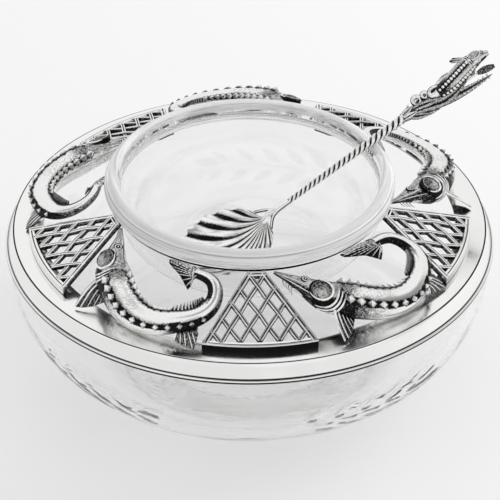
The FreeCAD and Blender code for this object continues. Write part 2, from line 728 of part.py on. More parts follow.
doc.recompute()
os.makedirs("parts", exist_ok=True)
for item in doc.Objects:
    state = item.State
    if "Invalid" in state or "Error" in state:
        raise RuntimeError("%s failed: %s" % (item.Name, state))
for piece in nodes:
    if piece.Shape.isNull() or not piece.Shape.isValid():
        raise RuntimeError("%s has no valid shape" % piece.Label)
for piece in nodes:
    piece.Shape.exportStep("parts/%s.step" % piece.Label)
    print(piece.Label, round(piece.Shape.Volume, 1), len(piece.Shape.Solids))
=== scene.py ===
"""Looks of a caviar server: a glass ice bowl with a silver collar, a gallery of cast
sturgeons and net panels, a wire ring, a glass caviar bowl and a rope stemmed spoon.

Sizes are in millimetres until a mesh is made. Z is up, the origin is the middle of the
ice bowl's base and the front is towards -Y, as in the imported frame.
"""

from __future__ import annotations

import logging
import math
from dataclasses import dataclass, field
from enum import Enum
from typing import Callable, Sequence

import bmesh
import bpy
import numpy as np
from bpy.types import Material, Node, NodeSocket, NodeTree, Object
from mathutils import Matrix, Vector

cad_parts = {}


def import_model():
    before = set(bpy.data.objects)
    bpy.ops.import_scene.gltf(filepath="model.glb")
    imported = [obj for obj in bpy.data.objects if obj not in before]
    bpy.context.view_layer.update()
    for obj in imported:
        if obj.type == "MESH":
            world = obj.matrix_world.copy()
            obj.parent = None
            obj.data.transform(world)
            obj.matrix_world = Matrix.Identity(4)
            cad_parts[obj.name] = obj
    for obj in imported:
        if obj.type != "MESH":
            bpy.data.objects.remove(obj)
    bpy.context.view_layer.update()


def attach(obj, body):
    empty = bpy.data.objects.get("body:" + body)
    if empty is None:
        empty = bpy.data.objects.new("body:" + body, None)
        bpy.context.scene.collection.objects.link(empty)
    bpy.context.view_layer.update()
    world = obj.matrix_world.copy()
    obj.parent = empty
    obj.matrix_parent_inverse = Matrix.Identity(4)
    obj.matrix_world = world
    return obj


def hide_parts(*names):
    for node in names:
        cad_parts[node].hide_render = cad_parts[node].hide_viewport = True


LOG = logging.getLogger("caviar_server")
Numbers = np.ndarray | float
MM = 0.001
TURN = 2 * math.pi
FIVE = 5
PITCH = 360.0 / FIVE
UP = np.array([0.0, 0.0, 1.0])
QUARTERS = (0.25, 0.5, 0.75)
NET_BAR_WIDTH = 1.6  # width of the net bar's section before it is scaled


# ---------------- small sums

def ramp(values: Numbers, start: float, length: float) -> Numbers:
    """0 up to start, 1 from a length beyond it, and straight between."""
    return np.clip((values - start) / length, 0, 1)


def unit_rows(rows: np.ndarray) -> np.ndarray:
    """Each row at length 1."""
    return rows / np.linalg.norm(rows, axis=-1, keepdims=True)


def around(steps: int) -> np.ndarray:
    """Angles of equal steps round a turn, in radians."""
    return np.arange(steps) * TURN / steps


def oval(centre: np.ndarray, ahead: np.ndarray, across: np.ndarray, wide: float, high: float,
         angles: np.ndarray = around(20)) -> np.ndarray:
    """Points round an oval.

    Args:
        centre: its middle.
        ahead: way of its first axis.
        across: way of its second axis.
        wide: half its size along the first axis.
        high: half its size along the second axis.
        angles: where on it each point lies.

    Returns:
        The points, one row each.
    """
    c, s = np.cos(angles)[:, None], np.sin(angles)[:, None]
    return centre + ahead * c * wide + across * s * high

# ---------------- surfaces

@dataclass
class Surface:
    """A closed surface in millimetres, with how polished each of its points is.

    Args:
        points: corners, one row each.
        faces: corner numbers of each face.
        shine: 0 where the silver is black, from its patina or from painted shade, 1 where it is
            polished and bright.
    """

    points: np.ndarray
    faces: list[tuple[int, ...]]
    shine: np.ndarray

    @staticmethod
    def joined(parts: Sequence["Surface"]) -> "Surface":
        """All of the parts as one surface.

        Args:
            parts: the surfaces to put together.

        Returns:
            One surface with every face of the parts.
        """
        faces: list[tuple[int, ...]] = []
        start = 0
        for part in parts:
            faces += [tuple(corner + start for corner in face) for face in part.faces]
            start += len(part.points)
        return Surface(np.vstack([part.points for part in parts]), faces,
                       np.concatenate([part.shine for part in parts]))

    def moved(self, matrix: Matrix) -> "Surface":
        """A copy of the surface put in another place.

        Args:
            matrix: turn and shift, in millimetres.

        Returns:
            The copy.
        """
        grid = np.array(matrix)
        return Surface(self.points @ grid[:3, :3].T + grid[:3, 3], self.faces, self.shine)


def rings_surface(rings: np.ndarray, shine: np.ndarray) -> Surface:
    """A skin over a row of closed rings, shut with a point at each end.

    Args:
        rings: stations by corners by three coordinates.
        shine: polish of every corner, stations by corners.

    Returns:
        The closed surface.
    """
    count, sides = rings.shape[:2]
    points = np.vstack([rings.reshape(-1, 3), rings[0].mean(0), rings[-1].mean(0)])
    first, last = count * sides, count * sides + 1
    faces: list[tuple[int, ...]] = []
    for i in range(count - 1):
        for k in range(sides):
            j = (k + 1) % sides
            faces.append((i * sides + k, i * sides + j, (i + 1) * sides + j, (i + 1) * sides + k))
    for k in range(sides):
        j = (k + 1) % sides
        faces.append((first, j, k))
        faces.append((last, (count - 1) * sides + k, (count - 1) * sides + j))
    both = [shine[0].mean(), shine[-1].mean()]
    return Surface(points, faces, np.concatenate([shine.reshape(-1), both]))


def plate_surface(top: np.ndarray, under: np.ndarray, shine: np.ndarray,
                  under_shine: float = 0.1) -> Surface:
    """A plate between two grids of the same size, with its four edges closed.

    Args:
        top: rows by columns by three coordinates.
        under: the other side, in the same order.
        shine: polish of the top, rows by columns.
        under_shine: polish of the other side.

    Returns:
        The closed surface.
    """
    rows, columns = top.shape[:2]
    count = rows * columns
    points = np.vstack([top.reshape(-1, 3), under.reshape(-1, 3)])
    number = np.arange(count).reshape(rows, columns)
    faces: list[tuple[int, ...]] = []
    for i in range(rows - 1):
        for k in range(columns - 1):
            a, b, c, d = number[i, k], number[i, k + 1], number[i + 1, k + 1], number[i + 1, k]
            faces.append((a, b, c, d))
            faces.append((d + count, c + count, b + count, a + count))
    edge = list(number[0, :]) + list(number[1:, -1]) + list(number[-1, -2::-1])
    edge += list(number[-2:0:-1, 0])
    for a, b in zip(edge, edge[1:] + edge[:1]):
        faces.append((b, a, a + count, b + count))
    faces = [tuple(int(corner) for corner in face) for face in faces]
    return Surface(points, faces, np.concatenate([shine.reshape(-1), np.full(count, under_shine)]))


def turned_surface(profile: Sequence[tuple[float, float, float]], segments: int) -> Surface:
    """A closed profile turned about Z.

    Args:
        profile: radius, height and polish of each corner; a radius of 0 is a pole.
        segments: number of steps round.

    Returns:
        The closed surface.
    """
    points: list[tuple[float, float, float]] = []
    shine: list[float] = []
    rows: list[list[int]] = []
    for radius, height, polish in profile:
        steps = 1 if radius == 0 else segments
        row = []
        for k in range(steps):
            angle = TURN * k / segments
            row.append(len(points))
            points.append((radius * math.cos(angle), radius * math.sin(angle), height))
            shine.append(polish)
        rows.append(row)
    faces: list[tuple[int, ...]] = []
    for row, after in zip(rows, rows[1:] + rows[:1]):
        if len(row) == 1 and len(after) == 1:
            continue
        for k in range(segments):
            j = (k + 1) % segments
            if len(row) == 1:
                faces.append((row[0], after[j], after[k]))
            elif len(after) == 1:
                faces.append((row[k], row[j], after[0]))
            else:
                faces.append((row[k], row[j], after[j], after[k]))
    return Surface(np.array(points), faces, np.array(shine))


def arc_points(start: tuple[float, float], end: tuple[float, float], radius: float,
               side: int, steps: int) -> list[tuple[float, float]]:
    """Points along the short arc from start to end, without the end itself.

    Args:
        start: radius and height of the first point.
        end: radius and height of the last point.
        radius: radius of the arc.
        side: +1 where it swells to the left of the way, -1 to the right.
        steps: number of points.

    Returns:
        The points.
    """
    a, b = np.array(start), np.array(end)
    chord = b - a
    half = np.linalg.norm(chord) / 2
    left = np.array([-chord[1], chord[0]]) / (2 * half)
    centre = (a + b) / 2 - left * side * math.sqrt(max(radius * radius - half * half, 0.0))
    first = math.atan2(*(a - centre)[::-1])
    last = math.atan2(*(b - centre)[::-1])
    sweep = (last - first + math.pi) % TURN - math.pi
    angles = first + sweep * np.arange(steps) / steps
    return [(centre[0] + radius * math.cos(t), centre[1] + radius * math.sin(t)) for t in angles]


def new_object(name: str, points: np.ndarray, edges: Sequence[tuple[int, int]],
               faces: Sequence[tuple[int, ...]]) -> Object:
    """A mesh object in the scene.

    Args:
        name: name of the object and its mesh.
        points: its corners.
        edges: its loose edges.
        faces: its faces.

    Returns:
        The object.
    """
    mesh = bpy.data.meshes.new(name)
    mesh.from_pydata([tuple(p) for p in points], list(edges), list(faces))
    made = bpy.data.objects.new(name, mesh)
    bpy.context.scene.collection.objects.link(made)
    return made


def make_object(name: str, surface: Surface, material: Material,
                crease_degrees: float) -> Object:
    """A mesh object from a surface, with its faces outwards and its place in its mesh.

    Args:
        name: name of the object.
        surface: the closed surface, in millimetres.
        material: its finish.
        crease_degrees: edges sharper than this stay sharp.

    Returns:
        The object, in the scene.
    """
    made = new_object(name, surface.points * MM, (), surface.faces)
    mesh = made.data
    polish = mesh.attributes.new("shine", "FLOAT", "POINT")
    polish.data.foreach_set("value", surface.shine.astype(np.float32))
    work = bmesh.new()
    work.from_mesh(mesh)
    bmesh.ops.recalc_face_normals(work, faces=work.faces[:])
    work.to_mesh(mesh)
    work.free()
    mesh.shade_smooth()
    mesh.set_sharp_from_angle(angle=math.radians(crease_degrees))
    mesh.materials.append(material)
    return made


# ---------------- node trees

def add_node(tree: NodeTree, kind: str, inputs: dict | None = None,
             links: dict | None = None, **settings: object) -> Node:
    """Add a node with its settings, values and links.

    Args:
        tree: the tree it goes into.
        kind: Blender's name of the node.
        inputs: values by the name or number of the socket.
        links: output sockets, or nodes for their first output, by the name or number of
            the socket that they feed.
        settings: properties of the node.

    Returns:
        The node.
    """
    node = tree.nodes.new(kind)
    for name, value in settings.items():
        setattr(node, name, value)
    for key, value in (inputs or {}).items():
        node.inputs[key].default_value = value
    for key, source in (links or {}).items():
        tree.links.new(source.outputs[0] if isinstance(source, Node) else source,
                       node.inputs[key])
    return node


def new_tree(name: str, sockets: Sequence[tuple[str, str]]
             ) -> tuple[NodeTree, Node]:
    """A tree of geometry nodes with named inputs, from Geometry to Material.

    Args:
        name: name of the tree.
        sockets: name and kind of each input between those two.

    Returns:
        The tree and its input node.
    """
    tree = bpy.data.node_groups.new(name, "GeometryNodeTree")
    for label, kind in (("Geometry", "Geometry"), *sockets, ("Material", "Material")):
        tree.interface.new_socket(label, in_out="INPUT", socket_type="NodeSocket" + kind)
    tree.interface.new_socket("Geometry", in_out="OUTPUT", socket_type="NodeSocketGeometry")
    return tree, tree.nodes.new("NodeGroupInput")


def end_tree(tree: NodeTree, start: Node,
             result: NodeSocket) -> None:
    """Make what a tree grew real, give it the material and lead it out of the tree.

    Args:
        tree: the tree.
        start: its input node.
        result: the geometry that it grew.
    """
    real = add_node(tree, "GeometryNodeRealizeInstances", links={"Geometry": result})
    dressed = add_node(tree, "GeometryNodeSetMaterial", links={
        "Geometry": real.outputs["Geometry"], "Material": start.outputs["Material"]})
    add_node(tree, "NodeGroupOutput", links={"Geometry": dressed.outputs["Geometry"]})


def wire_tree() -> NodeTree:
    """Sweeps a section along lines: each point of a line carries its thickness and its up.

    Returns:
        The tree, with the inputs Section, Thickness and Material.
    """
    tree, start = new_tree("sweep_section_along_lines",
                           [("Section", "Object"), ("Thickness", "Float")])
    up, thick = (add_node(tree, "GeometryNodeInputNamedAttribute", {"Name": name},
                          data_type=kind).outputs["Attribute"]
                 for name, kind in (("up", "FLOAT_VECTOR"), ("thick", "FLOAT")))
    lines = add_node(tree, "GeometryNodeMeshToCurve", links={"Mesh": start.outputs["Geometry"]})
    upright = add_node(tree, "GeometryNodeSetCurveNormal", mode="FREE",
                       links={"Curve": lines.outputs["Curve"], "Normal": up})
    section = add_node(tree, "GeometryNodeObjectInfo", links={"Object": start.outputs["Section"]})
    outline = add_node(tree, "GeometryNodeMeshToCurve",
                       links={"Mesh": section.outputs["Geometry"]})
    scale = add_node(tree, "ShaderNodeMath", operation="MULTIPLY",
                     links={0: thick, 1: start.outputs["Thickness"]})
    swept = add_node(tree, "GeometryNodeCurveToMesh", {"Fill Caps": True}, {
        "Curve": upright.outputs["Curve"], "Profile Curve": outline.outputs["Curve"],
        "Scale": scale})
    end_tree(tree, start, swept.outputs["Mesh"])
    return tree


def stud_tree() -> NodeTree:
    """Sets a small shape on each point, turned to the point's own out and along.

    Returns:
        The tree, with the inputs Shape, Size and Material.
    """
    tree, start = new_tree("set_shape_on_points", [("Shape", "Object"), ("Size", "Float")])
    out, along, measure = (add_node(tree, "GeometryNodeInputNamedAttribute", {"Name": name},
                                    data_type="FLOAT_VECTOR").outputs["Attribute"]
                           for name in ("out", "along", "measure"))
    dots = add_node(tree, "GeometryNodeMeshToPoints", links={"Mesh": start.outputs["Geometry"]})
    shape = add_node(tree, "GeometryNodeObjectInfo", {"As Instance": True},
                     {"Object": start.outputs["Shape"]})
    turn = add_node(tree, "FunctionNodeAxesToRotation", primary_axis="Z", secondary_axis="X",
                    links={"Primary Axis": out, "Secondary Axis": along})
    scale = add_node(tree, "ShaderNodeVectorMath", operation="SCALE",
                     links={0: measure, "Scale": start.outputs["Size"]})
    placed = add_node(tree, "GeometryNodeInstanceOnPoints", links={
        "Points": dots.outputs["Points"], "Instance": shape.outputs["Geometry"],
        "Rotation": turn.outputs["Rotation"], "Scale": scale})
    end_tree(tree, start, placed.outputs["Instances"])
    return tree


def holder(name: str, points: np.ndarray, edges: Sequence[tuple[int, int]] = (),
           faces: Sequence[tuple[int, ...]] = (), **values: np.ndarray) -> Object:
    """A helper object that a tree reads its points, lines or shape from.

    Args:
        name: name of the object.
        points: its points, in millimetres.
        edges: its lines.
        faces: its faces.
        values: attributes of the points: numbers, or rows of three.

    Returns:
        The object.
    """
    made = new_object(name, points, edges, faces)
    for label, data in values.items():
        kind, field_name = ("FLOAT_VECTOR", "vector") if data.ndim == 2 else ("FLOAT", "value")
        made.data.attributes.new(label, kind, "POINT").data.foreach_set(
            field_name, data.astype(np.float32).ravel())
    return made


def grown(source: Object, tree: NodeTree, **values: object) -> Surface:
    """What a tree makes of a helper object, as a plain surface; the helper is removed.

    Args:
        source: the helper object.
        tree: the tree.
        values: the tree's inputs by name.

    Returns:
        The surface, whose polish is that of its lines times that of its section.
    """
    modifier = source.modifiers.new(tree.name, "NODES")
    modifier.node_group = tree
    for item in tree.interface.items_tree:
        if item.in_out == "INPUT" and item.name in values:
            modifier[item.identifier] = values[item.name]
    view = bpy.context.evaluated_depsgraph_get()
    mesh = bpy.data.meshes.new_from_object(
        source.evaluated_get(view), preserve_all_data_layers=True, depsgraph=view)
    points = np.zeros(len(mesh.vertices) * 3)
    mesh.vertices.foreach_get("co", points)
    shine = np.ones(len(mesh.vertices))
    for label in ("shine", "groove"):
        if label in mesh.attributes:
            level = np.zeros(len(mesh.vertices))
            mesh.attributes[label].data.foreach_get("value", level)
            shine = shine * level
    faces = [tuple(face.vertices) for face in mesh.polygons]
    bpy.data.meshes.remove(mesh)
    bpy.data.objects.remove(source)
    return Surface(points.reshape(-1, 3), faces, shine)


@dataclass
class Line:
    """A line that a section is swept along.

    Args:
        points: its points, in millimetres.
        thick: scale of the section at each point, or one value for all.
        up: where the section's upper side faces at each point, or one way for all.
        shine: polish along it, which also carries painted shade.
        closed: whether its end joins its start.
    """

    points: np.ndarray
    thick: Numbers = 1.0
    up: np.ndarray = field(default_factory=lambda: UP)
    shine: Numbers = 1.0
    closed: bool = False


class Section(Enum):
    """Sections that are swept along lines: X is across and Y is up."""

    ROUND = "round"
    LEAF = "leaf"
    NET_BAR = "net_bar"


# Corners of each section: across, up, and polish; the net bar's black sides are oxide between the
# bars and painted shade, and the leaf's darker underside is painted shade
OUTLINES = {
    Section.ROUND: [(math.cos(TURN * k / 10), math.sin(TURN * k / 10), 1.0) for k in range(10)],
    Section.LEAF: [(1.0, 0.0, 0.5), (0.5, 0.24, 0.9), (0.06, 0.13, 0.15), (-0.06, 0.13, 0.15),
                   (-0.5, 0.24, 0.9), (-1.0, 0.0, 0.5), (-0.5, -0.24, 0.3), (0.5, -0.24, 0.3)],
    Section.NET_BAR: [(0.80, -1.70, 0.12), (0.80, -0.10, 0.34), (0.76, 0.12, 1.0),
                      (0.60, 0.26, 1.0), (0.30, 0.26, 1.0), (0.15, 0.02, 0.12),
                      (-0.15, 0.02, 0.12), (-0.30, 0.26, 1.0), (-0.60, 0.26, 1.0),
                      (-0.76, 0.12, 1.0), (-0.80, -0.10, 0.34), (-0.80, -1.70, 0.12)]}


class Workshop:
    """Holds the two trees, the sections and the shapes that the pieces are made with."""

    def __init__(self, material: Material) -> None:
        """Build the trees and sections once.

        Args:
            material: the finish that the trees give; each piece sets its own at the end.
        """
        self.material = material
        self.wires = wire_tree()
        self.studs = stud_tree()
        self.sections = {kind: self._section(kind) for kind in Section}
        self.shapes: dict[str, Object] = {}

    def _section(self, kind: Section) -> Object:
        """The outline of a section, turned to the way that a curve's profile is read.

        Args:
            kind: which section.

        Returns:
            A helper object.
        """
        outline = np.array(OUTLINES[kind])
        count = len(outline)
        return holder("section_" + kind.value,
                      np.column_stack([outline[:, 1], -outline[:, 0], np.zeros(count)]),
                      [(i, (i + 1) % count) for i in range(count)], groove=outline[:, 2])

    def sweep(self, section: Section, lines: Sequence[Line], thickness: float = 1.0) -> Surface:
        """Sweep a section along lines.

        Args:
            section: which section.
            lines: the lines.
            thickness: scale of the section on all lines.

        Returns:
            The surface.
        """
        points, edges, thick, up, shine = [], [], [], [], []
        start = 0
        for line in lines:
            count = len(line.points)
            points.append(line.points)
            thick.append(np.broadcast_to(line.thick, count))
            up.append(np.broadcast_to(line.up, (count, 3)))
            shine.append(np.broadcast_to(line.shine, count))
            edges += [(start + i, start + i + 1) for i in range(count - 1)]
            if line.closed:
                edges.append((start + count - 1, start))
            start += count
        source = holder("lines", np.vstack(points), edges, thick=np.concatenate(thick),
                        up=np.vstack(up), shine=np.concatenate(shine))
        return grown(source, self.wires, Section=self.sections[section],
                     Thickness=thickness, Material=self.material)

    def shape(self, name: str, surface: Surface) -> None:
        """Keep a small shape under a name, to be set on points."""
        self.shapes[name] = holder("shape_" + name, surface.points, (), surface.faces,
                                   shine=surface.shine)

    def stud(self, name: str, points: np.ndarray, out: np.ndarray, along: np.ndarray,
             measure: np.ndarray | Sequence[float], size: float = 1.0) -> Surface:
        """Set a kept shape on one point or more.

        Args:
            name: the shape.
            points: where it goes.
            out: way its Z faces, at each point or for all.
            along: way its X faces, at each point or for all.
            measure: its length, width and rise, at each point or for all.
            size: scale of all of them.

        Returns:
            The surface.
        """
        points = np.atleast_2d(points)
        out, along, measure = (np.broadcast_to(value, points.shape)
                               for value in (out, along, measure))
        source = holder("points", points, out=out, along=along, measure=measure)
        return grown(source, self.studs, Shape=self.shapes[name], Size=size,
                     Material=self.material)

    def close(self) -> None:
        """Remove the helper objects."""
        for made in list(self.sections.values()) + list(self.shapes.values()):
            bpy.data.objects.remove(made)


# ---------------- finishes

def colour(text: str) -> tuple[float, float, float, float]:
    """A linear colour from an sRGB hex value.

    Args:
        text: six hex digits, such as F2F0EC.

    Returns:
        Red, green, blue and an alpha of 1.
    """
    channels = [int(text[i:i + 2], 16) / 255 for i in (0, 2, 4)]
    linear = [c / 12.92 if c <= 0.04045 else ((c + 0.055) / 1.055) ** 2.4 for c in channels]
    return (*linear, 1.0)


def new_material(name: str) -> tuple[Material, NodeTree, Node]:
    """A material with its tree and its shader node.

    Args:
        name: name of the material.

    Returns:
        The material, its tree and its Principled shader.
    """
    material = bpy.data.materials.new(name)
    material.use_nodes = True
    tree = material.node_tree
    return material, tree, tree.nodes["Principled BSDF"]


@dataclass(frozen=True)
class Band:
    """What the two ends of a range of values are turned into."""

    start: float
    end: float
    low: float = 0.0
    high: float = 1.0

    def values(self) -> dict[str, float]:
        """The band as the values of a Map Range node."""
        return {"From Min": self.start, "From Max": self.end,
                "To Min": self.low, "To Max": self.high}


def make_silver(tree: NodeTree, shader: Node, tones: tuple[str, str],
                polish: NodeSocket, rough: NodeSocket) -> None:
    """Make a shader silver that goes from its black tone to its bright one.

    Args:
        tree: the material's tree.
        shader: its Principled shader.
        tones: the black and the bright tone, as sRGB hex values.
        polish: how bright the silver is, from 0 to 1.
        rough: its roughness.
    """
    tone = add_node(tree, "ShaderNodeMix", {6: colour(tones[0]), 7: colour(tones[1])},
                    {"Factor": polish}, data_type="RGBA")
    tree.links.new(tone.outputs[2], shader.inputs["Base Color"])
    tree.links.new(rough, shader.inputs["Roughness"])
    shader.inputs["Metallic"].default_value = 1.0


@dataclass(frozen=True)
class ClearGlass:
    """Soda glass, mould blown and fire polished: clear and smooth, with a slow ripple that
    bends what is seen through it, and darker where the wall is seen edge on."""

    name: str
    tint: str = "FDFDFD"
    depth_tint: str = "BCBCBA"
    density: float = 6.0
    ior: float = 1.5
    light_passed: float = 0.9
    ripple_mm: float = 0.15
    ripple_size_mm: float = 26.0
    ripple_flatness: float = 2.4

    def build(self) -> Material:
        """Make the material.

        Returns:
            The glass, which is matt where the mesh's shine is below 1.
        """
        material, tree, shader = new_material(self.name)
        shader.inputs["Base Color"].default_value = colour(self.tint)
        shader.inputs["Roughness"].default_value = 0.0
        shader.inputs["IOR"].default_value = self.ior
        clear = add_node(tree, "ShaderNodeAttribute", attribute_name="shine").outputs["Fac"]
        tree.links.new(clear, shader.inputs["Transmission Weight"])
        place = add_node(tree, "ShaderNodeTexCoord").outputs["Object"]
        stretch = add_node(tree, "ShaderNodeMapping", {"Scale": (1.0, 1.0, self.ripple_flatness)},
                           {"Vector": place})
        ripple = add_node(tree, "ShaderNodeTexNoise",
                          {"Scale": 1.0 / (self.ripple_size_mm * MM), "Detail": 3.0},
                          {"Vector": stretch})
        bump = add_node(tree, "ShaderNodeBump",
                        {"Strength": 1.0, "Distance": self.ripple_mm * MM},
                        {"Height": ripple})
        tree.links.new(bump.outputs[0], shader.inputs["Normal"])
        # Light passes the wall for shadows and soft light, so the ice bowl's inside isn't dark
        rays = add_node(tree, "ShaderNodeLightPath")
        passing = add_node(tree, "ShaderNodeMath", operation="MAXIMUM", links={
            0: rays.outputs["Is Shadow Ray"], 1: rays.outputs["Is Diffuse Ray"]})
        share = add_node(tree, "ShaderNodeMath", {1: self.light_passed},
                         {0: passing}, operation="MULTIPLY")
        through = add_node(tree, "ShaderNodeBsdfTransparent")
        mixed = add_node(tree, "ShaderNodeMixShader", links={
            0: share, 1: shader, 2: through})
        depth = add_node(tree, "ShaderNodeVolumeAbsorption",
                         {"Color": colour(self.depth_tint), "Density": self.density})
        out = tree.nodes["Material Output"]
        tree.links.new(mixed.outputs[0], out.inputs["Surface"])
        tree.links.new(depth.outputs[0], out.inputs["Volume"])
        return material


@dataclass(frozen=True)
class SpunSilver:
    """Sterling silver, spun and mirror polished by hand: white, with soft polish marks, black
    where a turned line was left dark, and black as painted shade under the collar's bead and as
    painted shadow on the ring's outer side."""

    name: str
    bright: str = "F5F5F4"
    black: str = "141414"
    roughness: float = 0.16
    least_rough: float = 0.7
    most_rough: float = 1.5
    mark_mm: float = 14.0

    def build(self) -> Material:
        """Make the material.

        Returns:
            The silver, which is black where the mesh's shine is 0.
        """
        material, tree, shader = new_material(self.name)
        place = add_node(tree, "ShaderNodeTexCoord").outputs["Object"]
        shine = add_node(tree, "ShaderNodeAttribute", attribute_name="shine").outputs["Fac"]
        marks = add_node(tree, "ShaderNodeTexNoise",
                         {"Scale": 1.0 / (self.mark_mm * MM), "Detail": 4.0}, {"Vector": place})
        rough = add_node(tree, "ShaderNodeMapRange",
                         Band(0.3, 0.7, self.roughness * self.least_rough,
                              self.roughness * self.most_rough).values(),
                         {"Value": marks})
        make_silver(tree, shader, (self.black, self.bright), shine, rough.outputs[0])
        return material


@dataclass(frozen=True)
class CastSilver:
    """Silver, lost wax cast, blackened with liver of sulphur and rubbed bright again: high
    parts are white and polished, hollows and pits stay black and dull. The pits are drawn
    coarser than casting skin, so that they show."""

    name: str
    bright: str = "F2F2F1"
    black: str = "1A1A1A"
    polish_roughness: float = 0.13
    dull_roughness: float = 0.5
    rub: float = 1.9
    patina: float = 0.45
    speckle: float = 0.45
    pit_mm: float = 0.5
    pit_depth_mm: float = 0.06
    hollow_mm: float = 1.3

    def build(self) -> Material:
        """Make the material.

        Returns:
            The silver, which is black where the mesh's shine is 0, in pits and in hollows.
        """
        material, tree, shader = new_material(self.name)
        place = add_node(tree, "ShaderNodeTexCoord").outputs["Object"]
        # The mesh's shine carries the rubbed polish and also the painted shade and painted
        # reflections that the pieces set
        shine = add_node(tree, "ShaderNodeAttribute", attribute_name="shine").outputs["Fac"]
        pits = add_node(tree, "ShaderNodeTexNoise",
                        {"Scale": 1.0 / (self.pit_mm * MM), "Detail": 2.0, "Roughness": 0.6},
                        {"Vector": place})
        speck = add_node(tree, "ShaderNodeMapRange",
                         Band(0.3, 0.7, -self.speckle, self.speckle).values(),
                         {"Value": pits})
        level = add_node(tree, "ShaderNodeMath", {1: self.rub, 2: -self.patina}, {0: shine},
                         operation="MULTIPLY_ADD")
        broken = add_node(tree, "ShaderNodeMath", operation="ADD", use_clamp=True,
                          links={0: level, 1: speck})
        hollow = add_node(tree, "ShaderNodeAmbientOcclusion", {"Distance": self.hollow_mm * MM},
                          samples=8, only_local=True)
        raised = add_node(tree, "ShaderNodeMapRange", Band(0.35, 0.75).values(),
                          {"Value": hollow.outputs["AO"]})
        polish = add_node(tree, "ShaderNodeMath", operation="MULTIPLY",
                          links={0: broken, 1: raised})
        rough = add_node(tree, "ShaderNodeMapRange",
                         Band(0.0, 1.0, self.dull_roughness, self.polish_roughness).values(),
                         {"Value": polish})
        make_silver(tree, shader, (self.black, self.bright), polish.outputs[0], rough.outputs[0])
        bump = add_node(tree, "ShaderNodeBump",
                        {"Strength": 0.5, "Distance": self.pit_depth_mm * MM},
                        {"Height": pits})
        tree.links.new(bump.outputs[0], shader.inputs["Normal"])
        return material


# ---------------- the glass and the collar

@dataclass(frozen=True)
class Levels:
    """Sizes that the pieces share; heights follow from the ice bowl's two arcs."""

    base_radius: float = 40.0
    crease_radius: float = 100.0
    flange_width: float = 13.0
    collar_sheet: float = 0.8
    band_height: float = 8.4
    band_flare: float = 2.8
    bead_height: float = 1.7
    belly_swell: float = 1.9
    belly_drop: float = 14.0
    side_arc: float = 49.4
    bottom_arc: float = 179.0
    bowl_wall: float = 4.2
    bowl_neck_gap: float = 0.6
    seat_radius: float = 57.8
    seat_wire: float = 1.1
    seat_rise: float = 16.0
    gallery_inset: float = 6.8
    panel_wall: float = 3.3
    ring_gap: float = 0.25
    panel_sink: float = 0.3

    @property
    def side_centre(self) -> float:
        """Radius of the centre of the side's arc."""
        return self.crease_radius + self.belly_swell - self.side_arc

    @property
    def arc_step(self) -> float:
        """Distance between the centres of the two arcs."""
        return self.bottom_arc - self.side_arc

    @property
    def arc_drop(self) -> float:
        """Height between the centres of the two arcs."""
        return math.sqrt(self.arc_step ** 2 - self.side_centre ** 2)

    @property
    def belly_height(self) -> float:
        """Height of the widest part of the ice bowl."""
        return math.sqrt(self.bottom_arc ** 2 - self.base_radius ** 2) - self.arc_drop

    @property
    def flange_top(self) -> float:
        """Height of the flange."""
        return self.belly_height + self.belly_drop

    @property
    def seat_height(self) -> float:
        """Height of the middle of the wire ring."""
        return self.flange_top + self.seat_rise

    @property
    def ring_edge(self) -> float:
        """Outer radius of the wire ring."""
        return self.seat_radius + self.seat_wire

    @property
    def panel_start(self) -> float:
        """Radius at which a panel starts."""
        return self.ring_edge + self.ring_gap

    @property
    def panel_end(self) -> float:
        """Outer radius of the gallery."""
        return self.crease_radius - self.gallery_inset

    @property
    def panel_low(self) -> float:
        """Height of the gallery at its outer edge."""
        return self.flange_top + self.panel_wall

    @property
    def gallery_slope(self) -> float:
        """Rise of the gallery for each millimetre inwards."""
        high = self.seat_height - self.panel_sink
        return (high - self.panel_low) / (self.panel_end - self.panel_start)

    def gallery_height(self, radius: Numbers) -> Numbers:
        """Height of the sloping gallery at a radius."""
        return self.panel_low + (self.panel_end - radius) * self.gallery_slope


